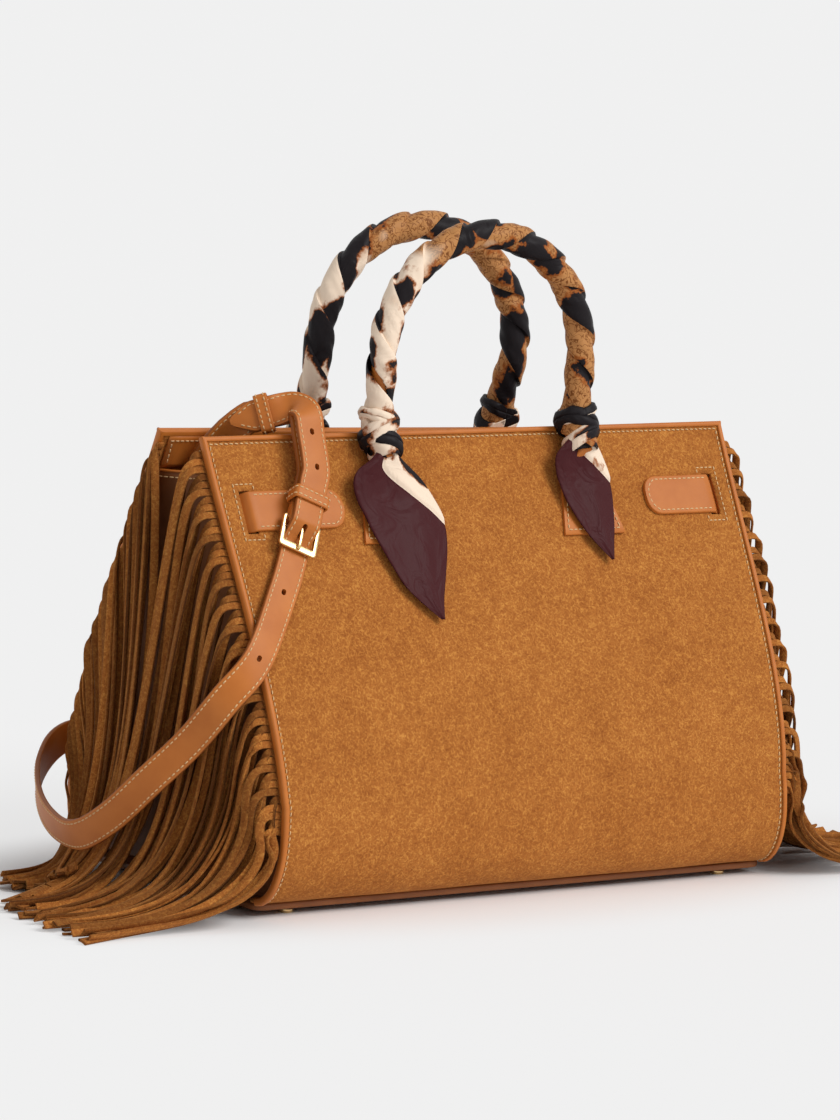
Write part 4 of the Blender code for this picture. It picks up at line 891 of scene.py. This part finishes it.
# Each turn of a knot: place up the leg, height, reach, thickness, slant and where the slant starts.
KNOT_TURNS = ((0.0088, 0.0106, 0.0124, 0.0046, 0.0040, 1.3),
              (0.0180, 0.0124, 0.0138, 0.0052, 0.0046, -1.3),
              (0.0266, 0.0082, 0.0124, 0.0042, 0.0036, 1.4))
KNOT_GROUNDS = {(-1, -1): (BLACK, CREAM, CREAM), (-1, 1): (CREAM, BLACK, CREAM),
                (1, -1): (CREAM, BLACK, CREAM), (1, 1): (CREAM, CREAM, BLACK)}
# A hanging end: height above the ground, left and right edge, how far it stands off the wall, and
# where across it the printed fold begins. The long end hangs at the front left leg.
LONG_END = (
    (0.2740, -0.0815, -0.0725, 0.0130, 0.30), (0.2680, -0.0830, -0.0715, 0.0140, 0.32),
    (0.2620, -0.0900, -0.0665, 0.0132, 0.38), (0.2570, -0.0995, -0.0600, 0.0112, 0.46),
    (0.2504, -0.1035, -0.0520, 0.0090, 0.56), (0.2411, -0.1025, -0.0455, 0.0070, 0.72),
    (0.2325, -0.0990, -0.0415, 0.0062, 0.88), (0.2241, -0.0960, -0.0400, 0.0056, 1.02),
    (0.2136, -0.0915, -0.0418, 0.0052, 1.2), (0.2020, -0.0862, -0.0460, 0.0048, 1.2),
    (0.1913, -0.0805, -0.0505, 0.0046, 1.2), (0.1820, -0.0715, -0.0542, 0.0044, 1.2),
    (0.1715, -0.0590, -0.0570, 0.0044, 1.2))
SHORT_END = (
    (0.2760, 0.0700, 0.0790, 0.0130, 0.34), (0.2715, 0.0660, 0.0815, 0.0142, 0.36),
    (0.2665, 0.0590, 0.0860, 0.0132, 0.44), (0.2613, 0.0540, 0.0900, 0.0106, 0.56),
    (0.2525, 0.0535, 0.0940, 0.0078, 0.80), (0.2450, 0.0550, 0.0950, 0.0066, 1.02),
    (0.2350, 0.0580, 0.0940, 0.0058, 1.2), (0.2206, 0.0655, 0.0905, 0.0052, 1.2),
    (0.2120, 0.0720, 0.0875, 0.0048, 1.2), (0.2010, 0.0822, 0.0838, 0.0045, 1.2))


def ribbon_faces(bm, rows, marks):
    """A cloth skin over rows of points; marks holds each one's place on the ribbon and ground."""
    uv, ground = bm.loops.layers.uv["ribbon"], bm.verts.layers.float["ground"]
    skins = []
    for row, row_marks in zip(rows, marks):
        skins.append([bm.verts.new(p) for p in row])
        for vert, mark in zip(skins[-1], row_marks):
            vert[ground] = mark[2]
    for r in range(len(rows) - 1):
        for c in range(len(rows[0]) - 1):
            corners = ((r, c), (r, c + 1), (r + 1, c + 1), (r + 1, c))
            face = bm.faces.new([skins[row][column] for row, column in corners])
            for loop, (row, column) in zip(face.loops, corners):
                loop[uv].uv = marks[row][column][:2]


def run_to(height):
    """Run down a wall to an exact height."""
    for k in range(len(OUTLINE) - 1):
        if OUTLINE[k + 1].y <= height:
            part = (OUTLINE[k].y - height) / (OUTLINE[k].y - OUTLINE[k + 1].y)
            return RUN[k] + (RUN[k + 1] - RUN[k]) * part


def wrap(bm, side, frames, lengths):
    """The wound part: two folds run slantwise round it, and the mesh runs along them."""
    uv, ground = bm.loops.layers.uv["ribbon"], bm.verts.layers.float["ground"]
    skins, turned, half = [], [], WRAP_SIDES // 2
    for (spot, _, out, across), length in zip(frames, lengths):
        from_end = min(length, lengths[-1] - length)
        swell = KNOT_SWELL * math.sin(math.pi * min(from_end / KNOT_LENGTH, 1.0)) ** 0.6
        uneven = 0.22 * noise.noise(Vector((length * 22, 0, 7 * side)))
        turned.append(-math.pi * (length / LAP_PITCH + uneven))
        ring = []
        for k, angle in enumerate(around(WRAP_SIDES)):
            t, lap = angle + turned[-1], (k % half) / half
            puff = 0.0008 * math.sin(math.pi * min(lap * 1.15, 1.0)) ** 0.7
            bend = 15 * lap + 5 * noise.noise(Vector((length * 30, k // half, 3 * side)))
            pleats = 0.00022 * math.sin(bend) * (1 - 0.5 * lap)
            rumple = 0.0006 * noise.noise(Vector((length * 60, 3 * lap + 5 * (k // half),
                                                  5 * side)))
            radius = WRAP_RADIUS + 0.0020 * (1 - lap) + puff + swell + pleats + rumple
            point = spot + (out * math.cos(t) + across * math.sin(t)) * radius
            if from_end < KNOT_LENGTH:
                point += out * max(OFF_WALL - (point - spot).dot(out), 0.0)
            vert = bm.verts.new(point)
            vert[ground] = 0.24 + 0.46 * smoothstep((point.x + 0.070) / 0.05)
            ring.append(vert)
        skins.append(ring)
    slit_row = min(range(len(lengths)), key=lambda j: abs(lengths[j] - lengths[-1] + SLIT_AT))
    fold_in_front = 0 if math.cos(turned[slit_row] - 0.5) > 0 else half
    for r in range(len(skins) - 1):
        gape = 1 - ((lengths[r] - lengths[slit_row]) / SLIT_HALF) ** 2 if side < 0 else 0
        for c in range(WRAP_SIDES):
            if (fold_in_front - 1 - c) % WRAP_SIDES < round(5 * gape):
                continue
            corners = ((r, c), (r, c + 1), (r + 1, c + 1), (r + 1, c))
            face = bm.faces.new([skins[row][column % WRAP_SIDES] for row, column in corners])
            for loop, (row, column) in zip(face.loops, corners):
                round_at = (column / WRAP_SIDES + turned[row] / (2 * math.pi)) * WRAP_ROUND
                loop[uv].uv = (round_at + 0.37 * (c // half) + 3 * side,
                               lengths[row] + 0.083 * (c // half))


def knot_turn(bm, frame_at, turn, ground, offset):
    """One turn of the knot: a pleated band drawn tight round the leg."""
    spot, heading, out, across = frame_at
    tall, reach, thick, tilt, phase = turn
    rows, marks = [], []
    for t in spaced(math.pi, 3 * math.pi, 61):
        radial = out * math.cos(t) + across * math.sin(t)
        gather = 1 - 0.28 * math.exp(-((math.cos(t - phase) - 1) / 0.10) ** 2)
        centre = spot + radial * (reach - 0.5 * thick) + heading * (tilt * math.cos(t - phase))
        row, row_marks = [], []
        for a in spaced(0, 2 * math.pi, 25):
            fold = 0.00032 * math.sin(4 * a + 1.5 * math.sin(t + phase)) * max(math.cos(a), 0)
            fold += 0.0003 * noise.noise(Vector((3 * math.cos(t) + offset, 3 * math.sin(t), 2 * a)))
            point = centre + radial * ((0.5 * thick + fold) * math.cos(a)) + heading * (
                0.5 * tall * gather * math.sin(a))
            point += out * max(OFF_WALL - 0.0002 - (point - spot).dot(out), 0.0)
            row.append(point)
            row_marks.append((0.0375 * t / math.pi + offset, 0.013 * a / math.pi, ground))
        rows.append(row)
        marks.append(row_marks)
    ribbon_faces(bm, rows, marks)


def hanging_end(bm, side, end, table):
    """A pointed ribbon end: plain maroon with the printed side folded over along one edge."""
    rows, marks = [], []
    steps = 8 * (len(table) - 1)
    for k in range(steps + 1):
        j = min(k // 8, len(table) - 2)
        ends = (table[max(j - 1, 0)], table[j], table[j + 1], table[min(j + 2, len(table) - 1)])
        height, left, right, lift, folded = [between(*four, k / 8 - j) for four in zip(*ends)]
        down = k / steps
        row, row_marks = [], []
        for u in spaced(0, 1, 41):
            bow = 0.0022 * math.sin(math.pi * u) ** 0.8 * min(6 * down, 1) * (1 - 0.6 * down)
            ripple = 0.0017 * math.sin(10 * u + 4 * down + side) * math.exp(
                -1.7 * down) * math.sin(math.pi * u) ** 0.5
            over = 0.0013 * smoothstep((u - folded) / 0.06)
            curl = 0.0016 * math.exp(-((1 - u) / 0.08) ** 2) * (1 - down)
            row.append(on_wall(side, left + (right - left) * u, run_to(height),
                               lift + bow + ripple + over - curl))
            row_marks.append((0.11 * down + 5 + 0.7 * end + side, 0.05 * u,
                              max(min((u - folded) * 30 - 0.5, CREAM), MAROON)))
        rows.append(row)
        marks.append(row_marks)
    ribbon_faces(bm, rows, marks)


for side, place_name in ((-1, "front"), (1, "back")):
    frames = handle_frames(side, 14)
    lengths = distances([spot for spot, *_ in frames])
    bm = bmesh.new()
    bm.loops.layers.uv.new("ribbon")
    bm.verts.layers.float.new("ground")
    wrap(bm, side, frames, lengths)
    for end in (1, -1):
        for number, (place, *turn) in enumerate(KNOT_TURNS):
            wanted = place if end > 0 else lengths[-1] - place
            nearest = min(range(len(lengths)), key=lambda j: abs(lengths[j] - wanted))
            spot, heading, out, across = frames[nearest]
            turn[-1] *= end
            knot_turn(bm, (spot, heading * end, out, across * end), turn,
                      KNOT_GROUNDS[side, end][number], 0.31 * number + end + 2 * side)
        table = LONG_END if (side, end) == (-1, -1) else SHORT_END
        if (side, end) == (1, -1):
            table = [(z, -right, -left, lift, folded) for z, left, right, lift, folded in table]
        hanging_end(bm, side, end, table)
    scarf = finish_mesh(bm, f"silk_scarf_{place_name}", twill,
                        nodes=[f"scarf_{place_name}"], facing=Vector((0, side, 0)))
    thicken(scarf, SILK_THICK, 0)


# Shoulder strap: two plies of calf, edge-stitched, with darker painted edges. The long one runs
# from its punched point over the mouth, down through the buckle and round the left side, and is
# sewn to the back wall; the short one is sewn inside the mouth and holds the buckle.
STRAP_WIDTH, STRAP_THICK, STRAP_GAP, STRAP_SEAM = 0.0195, 0.0030, 0.0006, 0.0024
SHORT_THICK, BILLET_LIFT, POINT_LENGTH = 0.0032, 0.0057, 0.0140
SHORT_DRAWN = 0.92 * SHORT_THICK
HOLE_LENGTH, HOLE_WIDTH, HOLE_DEPTH = 0.0042, 0.0030, 0.0028
KEEPER_SPOT = Vector((-0.1450, -0.0090, 0.2940))
KEEPER_ALONG = Vector((0.76, -0.54, 0.30)).normalized()
KEEPER_OUT = Vector((-0.52, -0.76, 0.22)).normalized()
HEEL_X, HEEL_RUN, HEEL_OFF, HEEL_TILT = -0.1478, 0.0600, 0.0083, 0.46
heel, heel_out = strap_spot(-1, HEEL_X, HEEL_RUN, HEEL_OFF)
heel_down = (on_wall(-1, HEEL_X, HEEL_RUN + 0.001, HEEL_OFF) - heel).normalized()
heel_down = (heel_down * math.cos(HEEL_TILT) - Vector((math.sin(HEEL_TILT), 0, 0))).normalized()
heel_across = heel_out.cross(heel_down)


def at_heel(down, out, across=0.0):
    """A point measured from the middle of the buckle's heel bar."""
    return heel + heel_down * down + heel_out * out + heel_across * across


def near_keeper(along):
    """A point of the long strap where it passes straight through the sliding keeper."""
    return KEEPER_SPOT + KEEPER_ALONG * along, KEEPER_OUT.copy()


ROUTE = [near_keeper(-0.0215), near_keeper(-0.0070), near_keeper(0.0060)]
ROUTE += [(Vector(row[:3]), Vector(row[3:]).normalized()) for row in (
    (-0.1315, -0.0175, 0.2990, -0.70, -0.42, 0.50), (-0.1292, -0.0260, 0.2993, -0.42, -0.25, 0.87),
    (-0.1290, -0.0330, 0.2950, -0.08, -0.80, 0.60))]
ROUTE += [strap_spot(-1, -0.1300, 0.0040, 0.0140), strap_spot(-1, -0.1322, 0.027, 0.0140)]
ROUTE += [(at_heel(down, out), heel_out.copy()) for down, out in (
    (-0.0245, BILLET_LIFT), (-0.0110, BILLET_LIFT), (0.0006, BILLET_LIFT), (0.0042, 0.0045),
    (0.0074, 0.0015), (0.0105, -0.0016), (0.0140, -0.0034), (0.0185, -0.0038), (0.0260, -0.0038))]
ROUTE += ROUND_LEFT_SIDE
ROUTE += [strap_spot(1, x, next(run for run, spot in zip(RUN, OUTLINE) if spot.y <= height), off)
          for x, height, off in ((-0.1600, 0.085, 0.0045), (-0.0850, 0.108, 0.0040),
                                 (0.0, 0.140, 0.0036), (0.0800, 0.184, 0.0030),
                                 (0.1250, 0.218, 0.0030), (0.1500, 0.2450, 0.0024))]


def band_frames(route, steps):
    """Point, heading, outward and across along a strap route."""
    return frames_along(*[curve_through(line, steps) for line in zip(*route)])


STRAP_SECTION = ((-1.0, -0.45), (-1.0, 0.45), (-0.975, 0.85), (-0.93, 1.0), (-0.80, 0.96),
                 (-0.70, 1.02), (0.0, 1.10), (0.70, 1.02), (0.80, 0.96), (0.93, 1.0),
                 (0.975, 0.85), (1.0, 0.45), (1.0, -0.45), (0.96, -0.92), (0.90, -1.0),
                 (0.0, -1.0), (-0.90, -1.0), (-0.96, -0.92))


def strap_mesh(frames, thick, widths):
    """A strap with softly rounded edges and faintly raised middle, where it is padded."""
    rings = [[spot + across * (u * wide) + out * (v * 0.5 * thick) for u, v in STRAP_SECTION]
             for (spot, _, out, across), wide in zip(frames, widths)]
    bm = bmesh.new()
    edge = bm.verts.layers.float.new("edge")
    for ring in tube_faces(bm, rings):
        for vert, (u, _) in zip(ring, STRAP_SECTION):
            vert[edge] = 1.0 if abs(u) > 0.97 else 0.0
    return bm


def edge_rows(bm, frames, widths, thick, face=1):
    """Stitch rows inside both edges of a strap; face is 1 on its outside and -1 beneath."""
    for hand in (-1, 1):
        line = [spot + across * (hand * max(wide - STRAP_SEAM, 0.0004))
                + out * (face * (0.5 * thick - 0.00005))
                for (spot, _, out, across), wide in zip(frames, widths)]
        stitches(bm, line, [out * face for _, _, out, _ in frames])


long_frames = band_frames(ROUTE, 8)
long_widths = [0.5 * STRAP_WIDTH * (0.16 + 0.84 * min(gone / POINT_LENGTH, 1.0) ** 0.8)
               for gone in distances([spot for spot, *_ in long_frames])]
strap = finish_calf(strap_mesh(long_frames, STRAP_THICK, long_widths), "strap_long")


def punch(spot, across, out, length, width, depth):
    """Punches one long hole through the strap."""
    along = across.cross(out)
    rings = []
    for level_at in (-depth, depth):
        ring = []
        for k in range(24):
            t = 2 * math.pi * (k + 0.5) / 24
            end_shift = 0.5 * (length - width) * (1 if math.cos(t) > 0 else -1)
            ring.append(spot + along * (end_shift + 0.5 * width * math.cos(t))
                        + across * (0.5 * width * math.sin(t)) + out * level_at)
        rings.append(ring)
    bm = tube(rings)
    bmesh.ops.recalc_face_normals(bm, faces=bm.faces)
    mesh = bpy.data.meshes.new("punch")
    bm.to_mesh(mesh)
    bm.free()
    tool = bpy.data.objects.new("punch", mesh)
    scene.collection.objects.link(tool)
    cut = strap.modifiers.new("hole", "BOOLEAN")
    cut.operation, cut.solver, cut.object = "DIFFERENCE", "EXACT", tool
    bpy.context.view_layer.update()
    depsgraph = bpy.context.evaluated_depsgraph_get()
    cut_mesh = bpy.data.meshes.new_from_object(strap.evaluated_get(depsgraph))
    strap.modifiers.remove(cut)
    strap.data = cut_mesh
    bpy.data.objects.remove(tool)


for spot, _, out, across in band_frames(ROUTE[5:9], 1)[1:3] + band_frames(ROUTE[16:20], 1)[1:3]:
    punch(spot, across, out, HOLE_LENGTH, HOLE_WIDTH, HOLE_DEPTH)
prong_along = (heel_down * 0.72 - heel_out * 0.69).normalized()
prong_out = (heel_down * 0.69 + heel_out * 0.72).normalized()
punch(at_heel(0.0069, 0.0022), prong_out.cross(prong_along), prong_out, 0.0100, 0.0032, 0.0040)
bm = bmesh.new()
edge_rows(bm, long_frames[3:-2], long_widths[3:-2], STRAP_THICK)
finish_seam(bm, "strap_long")

# The short strap lies under the long one, and its end turns round the heel bar in two halves that
# leave room for the prong.
beneath = 0.5 * (STRAP_THICK + SHORT_THICK) + STRAP_GAP
under = []
for k, (spot, _, out, _) in enumerate(band_frames(ROUTE, 2)[2:17]):
    drop = beneath + (BILLET_LIFT - beneath) * smoothstep((k - 3) / 5)
    under.append((spot - out * drop, out))
sewn = INSIDE - GAP - FACING_THICK - 0.5 * SHORT_THICK
before_keeper = (KEEPER_SPOT - KEEPER_ALONG * 0.0115 - under[0][1] * beneath, under[0][1])
short_frames = band_frames([
    strap_spot(1, -0.1650, 0.0220, sewn, -1), strap_spot(1, -0.1640, 0.0060, sewn - 0.0050, -1),
    before_keeper, *under, (at_heel(-0.0085, 0.0), heel_out.copy())], 4)
short_widths = [0.5 * STRAP_WIDTH] * len(short_frames)
bm = strap_mesh(short_frames, SHORT_DRAWN, short_widths)
for low, high in ((-0.5 * STRAP_WIDTH, -0.0016), (0.0016, 0.5 * STRAP_WIDTH)):
    rings = []
    for across in (low, low + 0.0004, high - 0.0004, high):
        shrink = 0.0003 if across in (low, high) else 0.0
        radius = 0.0037 - shrink
        bend = [at_heel(radius * math.cos(t), radius * math.sin(t), across)
                for t in spaced(0.5 * math.pi, -0.5 * math.pi, 17)]
        rings.append([at_heel(-0.0100, 0.5 * SHORT_THICK - shrink, across), *bend,
                      at_heel(-0.0100, -0.5 * SHORT_THICK + shrink, across)])
    tube_faces(bm, rings)
finish_calf(bm, "strap_short")
bm = bmesh.new()
edge_rows(bm, short_frames, short_widths, SHORT_DRAWN)
edge_rows(bm, short_frames[28:], short_widths[28:], SHORT_DRAWN, face=-1)
finish_seam(bm, "strap_short")


# Keepers: two narrow loops of calf round both straps, with a stitch row near each edge. The lower
# one is sewn in place under the turn; the upper one slides.
KEEPER_HALF, KEEPER_THICK, KEEPER_CORNER = 0.00425, 0.0014, 0.0012
KEEPER_SEAM, KEEPER_PITCH = 0.0023, 0.0034
KEEPER_SECTION = ((-1, 0.2), (-1, 0.75), (-0.93, 0.97), (-0.80, 1.0), (0.0, 1.04), (0.80, 1.0),
                  (0.93, 0.97), (1, 0.75), (1, 0.2), (0.93, 0.0), (-0.93, 0.0))
half = 0.5 * STRAP_WIDTH + 0.0009 - KEEPER_CORNER
slide_out = KEEPER_ALONG.cross(KEEPER_OUT).normalized().cross(KEEPER_ALONG)
for name, body_name, centre, along, out, low, high in (
        ("keeper_fixed", "bag", at_heel(-0.0150, 0.0), heel_down, heel_out, -0.0022,
         BILLET_LIFT + 0.0021),
        ("keeper_sliding", "loop", KEEPER_SPOT, KEEPER_ALONG, slide_out,
         -0.0015 - STRAP_GAP - SHORT_THICK - 0.0006, 0.0021)):
    across = out.cross(along)
    low, high = low + KEEPER_CORNER, high - KEEPER_CORNER
    rings, line, outs = [], [], []
    for quarter, (aside, above) in enumerate(((half, high), (-half, high), (-half, low),
                                              (half, low))):
        for bend in spaced(0.5 * math.pi * quarter, 0.5 * math.pi * (quarter + 1), 7):
            base = centre + across * aside + out * above
            away = across * math.cos(bend) + out * math.sin(bend)
            rings.append([base + away * (KEEPER_CORNER + v * KEEPER_THICK)
                          + along * (u * KEEPER_HALF) for u, v in KEEPER_SECTION])
            line.append(base + away * (KEEPER_CORNER + KEEPER_THICK * 1.02))
            outs.append(away)
    finish_calf(tube(rings, closed=True), name, body=body_name)
    bm = bmesh.new()
    for shift in (-KEEPER_SEAM, KEEPER_SEAM):
        stitches(bm, [p + along * shift for p in line + line[:1]], outs + outs[:1],
                 pitch=KEEPER_PITCH)
    finish_seam(bm, name, body_name)


# Buckle: cast brass with pale gold plating, a broad flat far bar and thinner sides, its prong bent
# round the heel bar.
BAR, FAR_BAR, FRAME_THICK, INNER_WIDE, INNER_LONG = 0.0028, 0.0046, 0.0024, 0.0205, 0.0145
OUTER = (-0.5 * BAR, 0.5 * BAR + INNER_LONG + FAR_BAR, 0.5 * INNER_WIDE + BAR, 0.0022)
INNER = (0.5 * BAR, 0.5 * BAR + INNER_LONG, 0.5 * INNER_WIDE, 0.0009)
FRAME_SECTION = ((-1.0, 0.0), (-0.985, 0.45), (-0.93, 0.75), (-0.82, 0.93), (-0.65, 1.0),
                 (0.65, 1.0), (0.82, 0.93), (0.93, 0.75), (0.985, 0.45), (1.0, 0.0),
                 (0.985, -0.6), (0.85, -1.0), (-0.85, -1.0), (-0.985, -0.6))
rings = []
for quarter, (far, sign) in enumerate(((1, 1), (0, 1), (0, -1), (1, -1))):
    for bend in spaced(0.5 * math.pi * quarter, 0.5 * math.pi * (quarter + 1), 9):
        outside, inside = [Vector((
            (start, stop)[far] + (-1 if far else 1) * radius + radius * math.cos(bend),
            sign * (wide - radius) + radius * math.sin(bend)))
            for start, stop, wide, radius in (OUTER, INNER)]
        middle, reach = (outside + inside) * 0.5, (inside - outside) * 0.5
        rings.append([at_heel(middle.x + reach.x * u, 0.5 * FRAME_THICK * v,
                              -middle.y - reach.y * u) for u, v in FRAME_SECTION])
finish_mesh(tube(rings, closed=True), "brass_buckle_frame", gold, body="buckle",
            nodes=["buckle_frame"])

PRONG_THICK, EYE = 0.0018, 0.0033
rest = 0.5 * FRAME_THICK + GAP
tip = 0.5 * BAR + INNER_LONG + 0.8 * FAR_BAR
outline = [(EYE * math.cos(t), EYE * math.sin(t)) for t in spaced(
    math.radians(66), math.radians(368), 22)]
outline += [(0.0050, rest), (0.5 * tip, rest), (tip, rest), (tip + 0.0006, rest + 0.0006),
            (tip + 0.0004, rest + 0.0013), (tip - 0.0005, rest + PRONG_THICK),
            (0.5 * tip, rest + 1.1 * PRONG_THICK), (0.2 * tip, rest + PRONG_THICK)]
rings = []
for across, shrink in ((-0.0010, 0.0004), (-0.0008, 0.0001), (-0.0005, 0.0), (0.0005, 0.0),
                       (0.0008, 0.0001), (0.0010, 0.0004)):
    rings.append([at_heel(u + (shrink if u < 0 else -shrink if u > 0.9 * tip else 0),
                          v - (shrink if v > rest else -shrink), across) for u, v in outline])
finish_mesh(tube(rings), "brass_prong", gold, body="prong",
            nodes=["buckle_prong"], smooth=0.6)
